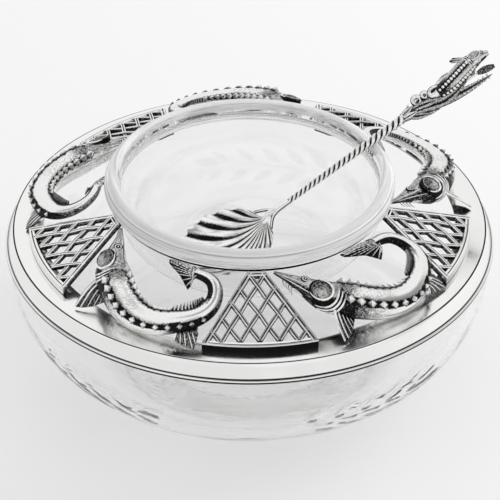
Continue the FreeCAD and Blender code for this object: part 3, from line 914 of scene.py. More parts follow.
@dataclass
class IceBowl:
    """The large glass bowl for crushed ice, with five sprigs of cut leaves in its wall."""

    levels: Levels
    segments: int = 480
    foot_ease: float = 0.8
    rim_ease: float = 0.5
    first_sprig: float = -132.0
    sprig_below_neck: float = 27.0
    leaf_pairs: int = 5
    leaf_pitch: float = 12.0
    leaf_length: float = 15.0
    leaf_width: float = 5.6
    leaf_cut: float = 0.34
    leaf_bevel: float = 1.1
    leaf_haze: float = 0.13

    def surface(self) -> Surface:
        """The bowl's wall, turned from its section, with the leaves cut into its outside.

        Returns:
            The closed wall.
        """
        s, ease = self.levels, self.rim_ease
        rim = s.flange_top - s.collar_sheet
        foot = s.flange_top - s.band_height
        neck = s.crease_radius - s.collar_sheet - s.bowl_neck_gap
        inner = s.side_arc - s.bowl_wall
        lift = s.belly_drop - s.band_height
        joint = (s.side_centre + s.side_arc * s.side_centre / s.arc_step,
                 s.belly_height - s.side_arc * s.arc_drop / s.arc_step)
        shoulder = (s.side_centre + math.sqrt(s.side_arc ** 2 - lift ** 2), foot)
        inside = (s.side_centre + math.sqrt(inner ** 2 - lift ** 2), foot)
        floor = (s.side_centre, s.belly_height - inner)
        outside = arc_points((s.base_radius, 0.02), joint, s.bottom_arc, -1, 14)
        outside += arc_points(joint, shoulder, s.side_arc, -1, 76)
        corners = [(0.0, 0.0), (s.base_radius * 0.5, 0.0), (s.base_radius - self.foot_ease, 0.0)]
        corners += outside + [shoulder, (neck, rim - ease), (neck - ease, rim)]
        corners += [(neck - s.bowl_wall + ease, rim), (neck - s.bowl_wall, rim - ease)]
        corners += arc_points(inside, floor, inner, 1, 48)
        corners += [floor, (floor[0] * 0.5, floor[1]), (0.0, floor[1])]
        wall = turned_surface([(r, z, 1.0) for r, z in corners], self.segments)
        cut = self._cut(wall.points, np.array(outside))
        wall.shine = 1 - self.leaf_haze * cut
        wall.points[:, :2] *= (1 - cut * self.leaf_cut / s.crease_radius)[:, None]
        return wall

    def _cut(self, points: np.ndarray, outside: np.ndarray) -> np.ndarray:
        """How deep the leaves are cut at each point.

        Args:
            points: corners of the bowl.
            outside: section of the outer wall, from the base up.

        Returns:
            0 where the wall is whole, 1 in the middle of a leaf.
        """
        steps = np.linalg.norm(np.diff(outside, axis=0), axis=1)
        way = np.concatenate([[0.0], np.cumsum(steps)])
        radius = np.hypot(points[:, 0], points[:, 1])
        # The outer skin alone, and of it only what lies between the base and the neck
        skin = np.abs(radius - np.interp(points[:, 2], outside[:, 1], outside[:, 0])) < 0.6
        skin &= (points[:, 2] > outside[0, 1]) & (points[:, 2] < outside[-1, 1])
        # Each point in millimetres up and across from the middle of the nearest sprig
        up = np.interp(points[:, 2], outside[:, 1], way) - (way[-1] - self.sprig_below_neck)
        turn = np.degrees(np.arctan2(points[:, 1], points[:, 0])) - self.first_sprig
        turn = (turn + PITCH / 2) % PITCH - PITCH / 2
        across = np.radians(turn) * self.levels.crease_radius
        # Across, up, tilt, and shares of the leaf's length and width: the tip leaf, the stem,
        # and then the pairs, which get smaller along the stem
        leaves = [(31.0, 3.0, 12.0, 1.0, 1.0), (0.0, 0.0, 4.0, 3.6, 0.18)]
        for k in range(self.leaf_pairs):
            place, size = self.leaf_pitch * (k - 2), 1.0 - 0.07 * k
            leaves += [(place, 6.2 * size, 38.0, size, size),
                       (place + 4.0, -6.4 * size, -34.0, size, size)]
        depth = np.zeros(len(points))
        for x, y, tilt, long, wide in leaves:
            c, n = math.cos(math.radians(tilt)), math.sin(math.radians(tilt))
            along = (across - x) * c + (up - y) * n
            aside = (up - y) * c - (across - x) * n
            length, width = self.leaf_length * long / 2, self.leaf_width / 2 * wide
            room = width * (1 - (along / length) ** 2) - np.abs(aside)
            leaf = np.clip(room / self.leaf_bevel + 0.1, 0, 1) * (np.abs(along) < length)
            depth = np.maximum(depth, leaf)
        return depth * skin


@dataclass
class RimCollar:
    """Spun silver collar: flange, scribed crease, leaning band and a bead at its foot."""

    levels: Levels
    segments: int = 288
    line_width: float = 0.52
    line_depth: float = 0.30
    bead_out: float = 0.62
    bead_steps: int = 10
    bead_shaded_steps: int = 7

    def surface(self) -> Surface:
        """The collar, turned from its section.

        Returns:
            The closed sheet.
        """
        s = self.levels
        top, rim, foot = s.flange_top, s.flange_top - s.collar_sheet, s.flange_top - s.band_height
        bore, crease = s.crease_radius - s.flange_width, s.crease_radius
        band, rise, lean = crease + s.band_flare, s.bead_height, s.band_flare / s.band_height
        # Inside of the sheet, down to the foot
        profile = [(bore, rim, 1.0), (crease - s.collar_sheet, rim, 1.0),
                   (band - s.collar_sheet, foot, 1.0)]
        # Half round bead, with painted shade on its lower side, and a dark line above it
        profile += [(band - 0.2, foot, 0.0), (band, foot + 0.12, 0.0)]
        for i in range(1, self.bead_steps):
            t = math.pi * i / self.bead_steps
            profile.append((band + self.bead_out * math.sin(t) - 0.02,
                            foot + rise / 2 - (rise / 2 - 0.1) * math.cos(t),
                            0.0 if i < self.bead_shaded_steps else 1.0))
        above = foot + rise
        start = above + 0.52
        profile += [(band - 0.46, above, 0.0), (band - 0.50, above + 0.42, 0.0),
                    (band - (rise + 0.5) * lean, start, 1.0)]
        # Plain leaning band, then the scribed crease and the flange
        for share in QUARTERS:
            z = start + (top - 0.6 - above - 0.52) * share
            profile.append((band - (z - foot) * lean, z, 1.0))
        deep, line = top - self.line_depth, self.line_width
        profile += [(crease + 0.20, top - 0.5, 1.0), (crease + 0.04, top - 0.22, 1.0),
                    (crease - 0.08, deep, 0.0), (crease - line, deep, 0.0),
                    (crease - line - 0.1, top, 1.0)]
        for share in QUARTERS:
            profile.append((crease - 0.5 - (s.flange_width - 0.9) * share, top, 1.0))
        # The inner edge of the flange is painted darker where it turns down, as painted shade
        profile += [(bore + 0.35, top, 1.0), (bore + 0.1, top - 0.1, 0.8), (bore, top - 0.35, 0.4)]
        return turned_surface(profile, self.segments)


@dataclass
class SeatRing:
    """Wire ring that carries the caviar bowl."""

    levels: Levels
    segments: int = 240
    shaded_share: float = 0.2

    def surface(self, shop: Workshop) -> Surface:
        """The ring, as a round section swept along a circle, with painted shadow, black, on its
        outer side under the lip.

        Args:
            shop: sweeps the wire.

        Returns:
            The closed ring.
        """
        s = self.levels
        circle = oval(UP * s.seat_height, np.array([1.0, 0.0, 0.0]), np.array([0.0, 1.0, 0.0]),
                      s.seat_radius, s.seat_radius, around(self.segments))
        ring = shop.sweep(Section.ROUND, [Line(circle, s.seat_wire, closed=True)])
        outwards = np.hypot(ring.points[:, 0], ring.points[:, 1]) - s.seat_radius
        ring.shine = np.where(outwards > self.shaded_share * s.seat_wire, 0.0, 1.0)
        return ring


@dataclass
class CaviarBowl:
    """The small glass bowl: a rolled lip with fine lines, a neck and a rounded dish."""

    levels: Levels
    seat_gap: float = 0.1
    lip_overhang: float = 3.6
    lip_height: float = 6.9
    lip_roll: float = 4.6
    lip_crown: float = 2.6
    lip_draw: float = 1.0
    lip_top_width: float = 3.8
    depth: float = 33.9
    corner: float = 24.0
    wall: float = 2.7
    neck_gap: float = 0.4
    neck_ease: float = 0.3
    line_pitch: float = 1.05
    line_depth: float = 0.08
    line_haze: float = 0.9
    line_start: float = 0.7
    crown_shine: float = 0.4
    segments: int = 256

    @property
    def lip_foot(self) -> float:
        """Height of the underside of the lip."""
        return self.levels.seat_height + self.levels.seat_wire + self.seat_gap

    @property
    def lip_top(self) -> float:
        """Height of the lip's top, without its crown."""
        return self.lip_foot + self.lip_height

    @property
    def neck(self) -> float:
        """Outer radius inside the ring."""
        return self.levels.seat_radius - self.levels.seat_wire - self.neck_gap

    @property
    def inside(self) -> float:
        """Inner radius of the wall."""
        return self.neck - self.wall

    @property
    def floor(self) -> float:
        """Height of the floor."""
        return self.lip_top - self.depth

    @property
    def lip_corner(self) -> float:
        """Radius at which the outer face of the lip meets its crown."""
        return self.neck + self.lip_overhang - self.lip_draw

    def _lined(self, radius: float, height: float) -> tuple[float, float, float]:
        """A point of the lip's outer face, pressed in and made matt by the fine lines.

        Args:
            radius: its radius on the plain face.
            height: its height.

        Returns:
            Its radius, height and shine. Every second or third line is deeper.
        """
        up = height - self.lip_foot
        wave = (0.5 - 0.5 * math.cos(TURN * up / self.line_pitch)) * (
            0.65 + 0.35 * math.sin(TURN * up / (2.6 * self.line_pitch)))
        ease = math.sin(math.pi * ramp(up, 0.0, self.lip_height))
        haze = self.line_haze * (1 - 0.55 * wave) * ramp(up, self.line_start, 0.6)
        return radius - self.line_depth * wave * ease, height, 1 - haze

    def surface(self) -> Surface:
        """The bowl, turned from its section.

        Returns:
            The closed wall.
        """
        edge, corner = self.neck + self.lip_overhang, self.lip_corner
        low, bend, ease = self.floor - self.wall, self.inside - self.corner, self.neck_ease
        face = arc_points((edge, self.lip_foot), (corner, self.lip_top), self.lip_roll, -1, 56)
        outer = arc_points((bend, low), (self.neck, self.floor + self.corner),
                           self.corner + self.wall, -1, 24)
        crown = arc_points((corner, self.lip_top), (corner - self.lip_top_width, self.lip_top),
                           self.lip_crown, -1, 14)
        inner = arc_points((self.inside, self.floor + self.corner), (bend, self.floor),
                           self.corner, 1, 24)
        corners = [(0.0, low), (bend * 0.5, low)] + outer
        corners += [(self.neck, self.floor + self.corner), (self.neck, self.lip_foot - ease),
                    (self.neck + ease, self.lip_foot), (edge - ease, self.lip_foot)]
        corners = [(r, z, 1.0) for r, z in corners]
        corners += [self._lined(r, z) for r, z in face]
        corners += [(r, z, self.crown_shine) for r, z in crown]
        slope = [(corner - self.lip_top_width, self.lip_top),
                 (self.inside + 0.4, self.lip_foot + 1.2), (self.inside, self.lip_foot - 0.6)]
        floor = [(bend, self.floor), (bend * 0.5, self.floor), (0.0, self.floor)]
        corners += [(r, z, 1.0) for r, z in slope + inner + floor]
        return turned_surface(corners, self.segments)


# ---------------- net panels

@dataclass
class NetPanel:
    """A pierced panel: engraved bars that pass over and under each other in a frame."""

    levels: Levels
    shop: Workshop
    painted_wall_reflection: float = 0.0
    half_angle: float = 14.5
    inner_half: float = 3.6
    cells: int = 6
    bar_width: float = 1.55
    bar_sink: float = 0.30
    bar_reach: float = 0.2
    frame_width: float = 2.0
    frame_rise: float = 0.1
    weave: float = 0.32

    def _lift(self, plan: np.ndarray, above: Numbers = 0.0) -> np.ndarray:
        """Points of the plan raised to the gallery's slope.

        Args:
            plan: points in plan, one row each.
            above: distance above the slope, at each point or for all.

        Returns:
            The raised points.
        """
        radius = np.hypot(plan[:, 0], plan[:, 1])
        height = self.levels.gallery_height(radius) + above
        return np.column_stack([plan, np.broadcast_to(height, radius.shape)])

    def _meeting(self, first: Sequence[np.ndarray], second: Sequence[np.ndarray]) -> float | None:
        """Where one bar crosses another.

        Args:
            first: start and end of the bar in plan.
            second: start and end of the other.

        Returns:
            Share of the first bar's way, or nothing where they don't cross.
        """
        way, other, gap = first[1] - first[0], second[1] - second[0], second[0] - first[0]
        cross = way[0] * other[1] - way[1] * other[0]
        if abs(cross) < 1e-9:
            return None
        share = (gap[0] * other[1] - gap[1] * other[0]) / cross
        there = (gap[0] * way[1] - gap[1] * way[0]) / cross
        return share if 0.02 < share < 0.98 and 0.0 < there < 1.0 else None

    def surface(self) -> Surface:
        """All bars, frame and outer wall of a panel whose middle line is along +X.

        Returns:
            The closed surfaces.
        """
        s, angle = self.levels, math.radians(self.half_angle)
        left = s.panel_end * np.array([math.cos(angle), -math.sin(angle)])
        right = left * np.array([1.0, -1.0])
        top_left = np.array([s.panel_start, -self.inner_half])
        top_right = np.array([s.panel_start, self.inner_half])
        upright = unit_rows(np.array([s.gallery_slope, 0.0, 1.0]))
        families: list[list[tuple[np.ndarray, np.ndarray]]] = [[], []]
        for step in range(1, self.cells):
            along = (right - left) * (step / self.cells)
            reach = (self.cells - step) / (self.cells - 1)
            families[0].append((left + along, right + (top_right - right) * reach))
            families[1].append((right - along, left + (top_left - left) * reach))
        lines = []
        steps = np.linspace(0, 1, 25)
        for side, family in enumerate(families):
            for i, (start, end) in enumerate(family):
                start = start + (start - end) / np.linalg.norm(end - start) * -self.bar_reach
                crossings = [(0.0, 0.0), (1.0, 0.0)]
                for j, other in enumerate(families[1 - side]):
                    share = self._meeting((start, end), other)
                    if share is not None:
                        crossings.append((share, 1.0 if (i + j + side) % 2 else -1.0))
                shares, signs = zip(*sorted(crossings))
                rise = np.interp(steps, shares, signs) * self.weave - self.bar_sink
                plan = start + (end - start) * steps[:, None]
                lines.append(Line(self._lift(plan, rise), 1.0, upright))
        bars = self.shop.sweep(Section.NET_BAR, lines, self.bar_width / NET_BAR_WIDTH)
        aside, rise = self.frame_width / 2, -self.bar_sink + self.frame_rise
        frame = []
        for low, high, way in ((left, top_left, 1), (right, top_right, -1)):
            foot = low + np.array([0.0, aside * way]) * 1.1
            rail = foot + (high - low) * np.linspace(0, 1, 12)[:, None]
            frame.append(Line(self._lift(rail, rise), 1.0, upright))
        inwards = np.array([aside, 0.0])
        rail = np.linspace(top_left + inwards, top_right + inwards, 4)
        frame.append(Line(self._lift(rail, rise), 1.0, upright))
        rails = self.shop.sweep(Section.NET_BAR, frame, self.frame_width / NET_BAR_WIDTH)
        return Surface.joined([bars, rails, self._outer_wall()])

    def _outer_wall(self) -> Surface:
        """The curved outer bar, whose wall stands on the flange.

        Returns:
            The closed bar.
        """
        end, top = self.levels.panel_end, self.levels.panel_low
        base = self.levels.flange_top
        # The top of the wall is polished with a dark groove; its outer face carries a painted
        # reflection, black or bright by panel, and its foot on the flange and its underside are
        # painted black as shade
        section = [(end - 2.1, top + 0.35, 1.0), (end - 1.25, top + 0.30, 1.0),
                   (end - 1.12, top + 0.05, 0.1), (end - 0.88, top + 0.0, 0.1),
                   (end - 0.75, top + 0.12, 1.0), (end - 0.12, top - 0.08, 1.0),
                   (end, top - 0.28, 0.9), (end, top - 0.50, self.painted_wall_reflection),
                   (end, base + 0.5, self.painted_wall_reflection), (end, base, 0.0),
                   (end - 1.1, base, 0.0), (end - 1.2, top - 1.6, 0.02),
                   (end - 2.2, top - 1.2, 0.02)]
        angles = np.radians(np.linspace(-self.half_angle, self.half_angle, 49))
        rings = np.array([[(r * math.cos(a), r * math.sin(a), z) for r, z, _ in section]
                          for a in angles])
        shine = np.tile([p for _, _, p in section], (len(angles), 1))
        return rings_surface(rings, shine)


# ---------------- sturgeons

class SmoothPath:
    """A smooth line through points, with the chord length as its parameter from 0 to 1."""

    def __init__(self, points: np.ndarray) -> None:
        """Work out the curvature at each point.

        Args:
            points: the points, one row each.
        """
        steps = np.linalg.norm(np.diff(points, axis=0), axis=1)
        self.knots = np.concatenate([[0.0], np.cumsum(steps)]) / steps.sum()
        self.points = points
        gaps = np.diff(self.knots)
        count = len(points)
        system = np.eye(count)
        right = np.zeros_like(points)
        for i in range(1, count - 1):
            system[i, i - 1:i + 2] = gaps[i - 1], 2 * (gaps[i - 1] + gaps[i]), gaps[i]
            right[i] = 6 * ((points[i + 1] - points[i]) / gaps[i]
                            - (points[i] - points[i - 1]) / gaps[i - 1])
        self.bends = np.linalg.solve(system, right)

    def at(self, shares: Numbers) -> np.ndarray:
        """Points at shares of the way.

        Args:
            shares: one share or more, from 0 to 1.

        Returns:
            The points, one row each.
        """
        s = np.atleast_1d(np.asarray(shares, float))
        i = np.clip(np.searchsorted(self.knots, s, side="right") - 1, 0, len(self.knots) - 2)
        gap = (self.knots[i + 1] - self.knots[i])[:, None]
        b = ((s - self.knots[i])[:, None]) / gap
        a = 1 - b
        return (a * self.points[i] + b * self.points[i + 1]
                + ((a ** 3 - a) * self.bends[i] + (b ** 3 - b) * self.bends[i + 1]) * gap ** 2 / 6)

    def along(self, shares: Numbers) -> np.ndarray:
        """Ways along the line.

        Args:
            shares: one share or more, from 0 to 1.

        Returns:
            Unit ways, one row each.
        """
        s = np.atleast_1d(np.asarray(shares, float))
        return unit_rows(self.at(np.minimum(s + 2e-3, 1.0)) - self.at(np.maximum(s - 2e-3, 0.0)))


@dataclass
class FishBody:
    """A sturgeon's middle line and girth, and what is asked of its skin.

    Args:
        path: the middle line.
        widths: share of the full width at each point that the path was made from.
        full_width: thickest part across.
        full_depth: thickest part through.
        facing: gives the way that is up at points.
    """

    path: SmoothPath
    widths: np.ndarray
    full_width: float
    full_depth: float
    facing: Callable[[np.ndarray], np.ndarray]

    def width_share(self, shares: Numbers) -> np.ndarray:
        """Share of the full width at places along the fish."""
        return np.interp(shares, self.path.knots, self.widths)

    def frames(self, shares: Numbers) -> tuple[np.ndarray, ...]:
        """The body's directions and size at places along the fish.

        Args:
            shares: the places.

        Returns:
            Point, along, to the back, up, half width and half depth.
        """
        s = np.atleast_1d(np.asarray(shares, float))
        point, along = self.path.at(s), self.path.along(s)
        back = unit_rows(np.cross(self.facing(point), along))
        up = unit_rows(np.cross(along, back))
        wide = self.width_share(s)
        flat = (1 + np.sqrt(wide)) / 2
        return (point, along, back, up, wide * self.full_width / 2,
                wide * flat * self.full_depth / 2)

    def rings(self, shares: np.ndarray, degrees: np.ndarray,
              grow: Numbers = 1.0) -> np.ndarray:
        """Rings of points round the body.

        Args:
            shares: places along the fish.
            degrees: angle of each corner of a ring, as in skin.
            grow: size against the plain body, stations by corners or one for all.

        Returns:
            Stations by corners by three coordinates.
        """
        point, _, back, up, half_width, half_depth = self.frames(shares)
        angle = np.radians(degrees)[None, :, None]
        grow = np.broadcast_to(grow, (len(shares), len(degrees)))[..., None]
        return (point[:, None] + up[:, None] * np.cos(angle) * half_depth[:, None, None] * grow
                + back[:, None] * np.sin(angle) * half_width[:, None, None] * grow)

    def skin(self, shares: Numbers, degrees: Numbers,
             above: float = 0.0) -> tuple[np.ndarray, np.ndarray, np.ndarray]:
        """Points on the skin with the ways outwards and along.

        Args:
            shares: places along the fish.
            degrees: 0 is straight up, 90 the back of the fish, -90 its belly.
            above: distance above the skin.

        Returns:
            Points, outward ways and ways along.
        """
        point, along, back, up, half_width, half_depth = self.frames(shares)
        angle = np.radians(np.broadcast_to(degrees, half_width.shape))[:, None]
        foot = (point + up * np.cos(angle) * half_depth[:, None]
                + back * np.sin(angle) * half_width[:, None])
        out = unit_rows(up * np.cos(angle) / half_depth[:, None]
                        + back * np.sin(angle) / half_width[:, None])
        return foot + out * above, out, along

    def spot(self, share: float, degrees: float, above: float = 0.0) -> tuple[np.ndarray, ...]:
        """One point on the skin with the ways outwards, along and across."""
        foot, out, along = (rows[0] for rows in self.skin(share, degrees, above))
        return foot, out, along, np.cross(out, along)


@dataclass(frozen=True)
class Fin:
    """A fin: a thin dark skin between its root and its edge, with bright rays on both sides.

    Args:
        root: first and last point of the root.
        edge: outline of the far edge, from the first side to the last.
        rays: place from the first side to the last, and half thickness, of each ray.
        thickness: thickness of the skin.
        bow: how far the first side bends out at its middle.
        skin: polish of the skin.
        notches: how often the rays are notched across.
    """

    root: Sequence[Sequence[float]]
    edge: Sequence[Sequence[float]]
    rays: Sequence[tuple[float, float]]
    thickness: float
    bow: tuple[float, float, float] = (0.0, 0.0, 0.0)
    skin: float = 0.06
    notches: int = 0

    def surface(self, shop: Workshop) -> Surface:
        """Make the fin.

        Args:
            shop: sweeps the rays.

        Returns:
            The closed surfaces.
        """
        rows, columns = 14, 33
        root, edge, bow = np.array(self.root), np.array(self.edge), np.array(self.bow)
        steps = np.linalg.norm(np.diff(edge, axis=0), axis=1)
        knots = np.concatenate([[0], np.cumsum(steps)]) / steps.sum()
        normal = unit_rows(np.cross(root[1] - root[0], edge[len(edge) // 2] - root.mean(0)))
        normal = -normal if normal[2] < 0 else normal
        u = np.linspace(0, 1, rows)[:, None]
        t = np.linspace(0, 1, rows * 3)

        def ray(place: float) -> np.ndarray:
            """Points of a ray from the root to the edge.

            Args:
                place: its place from the first side to the last.

            Returns:
                The points, one row each.
            """
            end = np.array([np.interp(place, knots, edge[:, k]) for k in range(3)])
            start = root[0] + (root[1] - root[0]) * place
            return start + (end - start) * u + bow * (1 - place) * np.sin(np.pi * u)

        grid = np.stack([ray(place) for place in np.linspace(0, 1, columns)], axis=1)
        half = normal * self.thickness * 0.4
        skin = np.full(grid.shape[:2], self.skin)
        plate = plate_surface(grid + half, grid - half, skin, self.skin)
        level = 0.35 + 0.65 * (0.5 + 0.5 * np.sign(np.cos(t * TURN * self.notches)))
        lines = []
        for place, thick in self.rays:
            way = ray(place)
            fine = np.column_stack([np.interp(t, u[:, 0], way[:, k]) for k in range(3)])
            taper = thick * np.interp(t, [0, 0.15, 0.75, 1], [0.8, 1.0, 0.9, 0.45])
            lines.append(Line(fine + normal * self.thickness * 0.35, taper, normal, level))
        return Surface.joined([plate, shop.sweep(Section.ROUND, lines)])


# Fins of a gallery sturgeon. Behind the gills a thick double ray leads and fine rays follow
# it down; the small belly fin stands on the flange; the tail's upper lobe is the longer one
PECTORAL = Fin(
    ((69.4, 30.9, 80.8), (69.6, 35.0, 76.8)),
    ((88.5, 33.9, 70.95), (86.0, 36.0, 71.2), (82.0, 37.6, 71.9), (77.0, 38.6, 73.6),
     (72.6, 37.0, 75.8)),
    ((0.0, 0.78), (0.13, 0.62), (0.29, 0.30), (0.44, 0.28), (0.57, 0.28), (0.70, 0.26),
     (0.83, 0.26), (1.0, 0.36)), 0.7, (0.3, -1.9, 2.2), 0.24)
BELLY_FIN = Fin(
    ((57.2, 68.6, 75.0), (49.2, 71.0, 75.6)),
    ((58.9, 71.0, 71.9), (56.6, 74.6, 71.1), (53.2, 78.0, 70.75), (51.3, 75.8, 72.6),
     (49.4, 73.2, 74.6)),
    ((0.0, 0.40), (0.18, 0.24), (0.34, 0.24), (0.52, 0.24), (0.70, 0.26), (1.0, 0.40)),
    0.8, (0.0, 0.4, 0.5), 0.30)
TAIL = Fin(
    ((39.6, 50.4, 86.9), (43.9, 52.0, 85.3)),
    ((40.6, 46.6, 86.9), (44.4, 39.8, 85.8), (47.7, 34.7, 84.7), (48.7, 36.6, 84.3),
     (48.1, 41.0, 84.2), (47.4, 44.8, 84.1), (46.9, 48.4, 82.6), (46.4, 51.9, 80.9),
     (45.2, 52.3, 82.6)),
    ((0.0, 0.40), (0.12, 0.30), (0.24, 0.34), (0.36, 0.36), (0.45, 0.26), (0.54, 0.26),
     (0.63, 0.26), (0.72, 0.26), (0.81, 0.28), (0.90, 0.34), (1.0, 0.40)), 0.8, notches=7)

# Middle line of a gallery sturgeon: share of the pitch between two panels, share of the
# way from the ring to the gallery's edge, share of the full width, and share of the depth
# that the middle stands above the gallery's slope
SPINE = np.array([
    (0.094, 0.03, 0.11, -0.02), (0.160, 0.13, 0.30, -0.02), (0.229, 0.29, 0.66, 0.02),
    (0.283, 0.44, 1.00, 0.04), (0.380, 0.63, 1.13, 0.06), (0.487, 0.81, 1.04, 0.07),
    (0.590, 0.88, 0.86, 0.08), (0.692, 0.81, 0.73, 0.13), (0.784, 0.64, 0.58, 0.16),
    (0.812, 0.42, 0.48, 0.20), (0.780, 0.24, 0.40, 0.24), (0.690, 0.16, 0.34, 0.22)])


def small_scute() -> Surface:
    """A bony plate: a keeled diamond with hollow sides, its point set back.

    Returns:
        The plate, about 1 long, wide and high.
    """
    base = [(0.56, 0.0), (0.12, 0.46), (-0.5, 0.0), (0.12, -0.46)]
    mid = [(0.36, 0.0), (0.02, 0.22), (-0.34, 0.0), (0.02, -0.22)]
    rings = [[(x, y, -0.7) for x, y in base], [(x, y, 0.10) for x, y in base],
             [(x, y, 0.46) for x, y in mid]]
    points = [p for ring in rings for p in ring] + [(-0.12, 0.0, 1.0)]
    faces: list[tuple[int, ...]] = [(3, 2, 1, 0)]
    for i in range(2):
        for k in range(4):
            j = (k + 1) % 4
            faces.append((i * 4 + k, i * 4 + j, i * 4 + 4 + j, i * 4 + 4 + k))
    faces += [(8 + k, 8 + (k + 1) % 4, 12) for k in range(4)]
    return Surface(np.array(points), faces, np.repeat([0.0, 0.30, 0.74, 1.0], [4, 4, 4, 1]))


def comb_tooth() -> Surface:
    """A tooth of the back fin: a thin blade that leans towards the tail.

    Returns:
        The tooth, about 1 long, wide and high.
    """
    outline = [(-0.5, -0.3), (0.3, -0.3), (0.95, 0.75), (1.05, 1.0), (0.75, 0.98), (-0.1, 0.4)]
    count = len(outline)
    points = [(x, y, z) for y in (-0.5, 0.5) for x, z in outline]
    faces: list[tuple[int, ...]] = [tuple(range(count)),
                                    tuple(range(2 * count - 1, count - 1, -1))]
    faces += [(i, i + count, (i + 1) % count + count, (i + 1) % count) for i in range(count)]
    return Surface(np.array(points), faces, np.array([0.0, 0.0, 0.35, 0.6, 0.5, 0.2] * 2))


def bead() -> Surface:
    """A low round bead.

    Returns:
        The bead, 1 across.
    """
    rings, shine = [], []
    for tilt, polish in ((90.0, 0.4), (60.0, 1.0), (28.0, 1.0)):
        t = math.radians(tilt)
        rings.append([(0.5 * math.sin(t) * math.cos(a), 0.5 * math.sin(t) * math.sin(a),
                       math.cos(t) - 0.15) for a in around(8)])
        shine.append([polish] * 8)
    return rings_surface(np.array(rings), np.array(shine))


@dataclass(frozen=True)
class PlateRow:
    """A row of bony plates: where it starts and ends along the fish, its angle on the flank
    at both places, how many plates it has and the size of the last against the first."""

    start: float
    end: float
    start_angle: float
    end_angle: float
    count: int
    last_size: float

    def angle(self, part: np.ndarray) -> np.ndarray:
        """Angle on the flank at parts of the row's length."""
        return self.start_angle + (self.end_angle - self.start_angle) * part


@dataclass(frozen=True)
class SkinTones:
    """Polish of the parts of a sturgeon's skin, from 0 for black to 1 for bright."""

    belly: float = 0.92
    belly_underside_shade: float = 0.64
    front_flank: float = 0.76
    rear_flank: float = 0.90
    throat: float = 0.14
    back: float = 0.8
    row_side_shade: float = 0.30
    plate_edge: float = 0.06
    nape: float = 0.32
    loin: float = 0.10
    tail: tuple[float, float, float] = (0.10, 0.85, 0.35)
    face: tuple[float, float, float] = (0.20, 0.70, 0.48)
    under_gill_shadow: float = 0.03
    stipple: float = 0.15
    least_stipple: float = 0.04


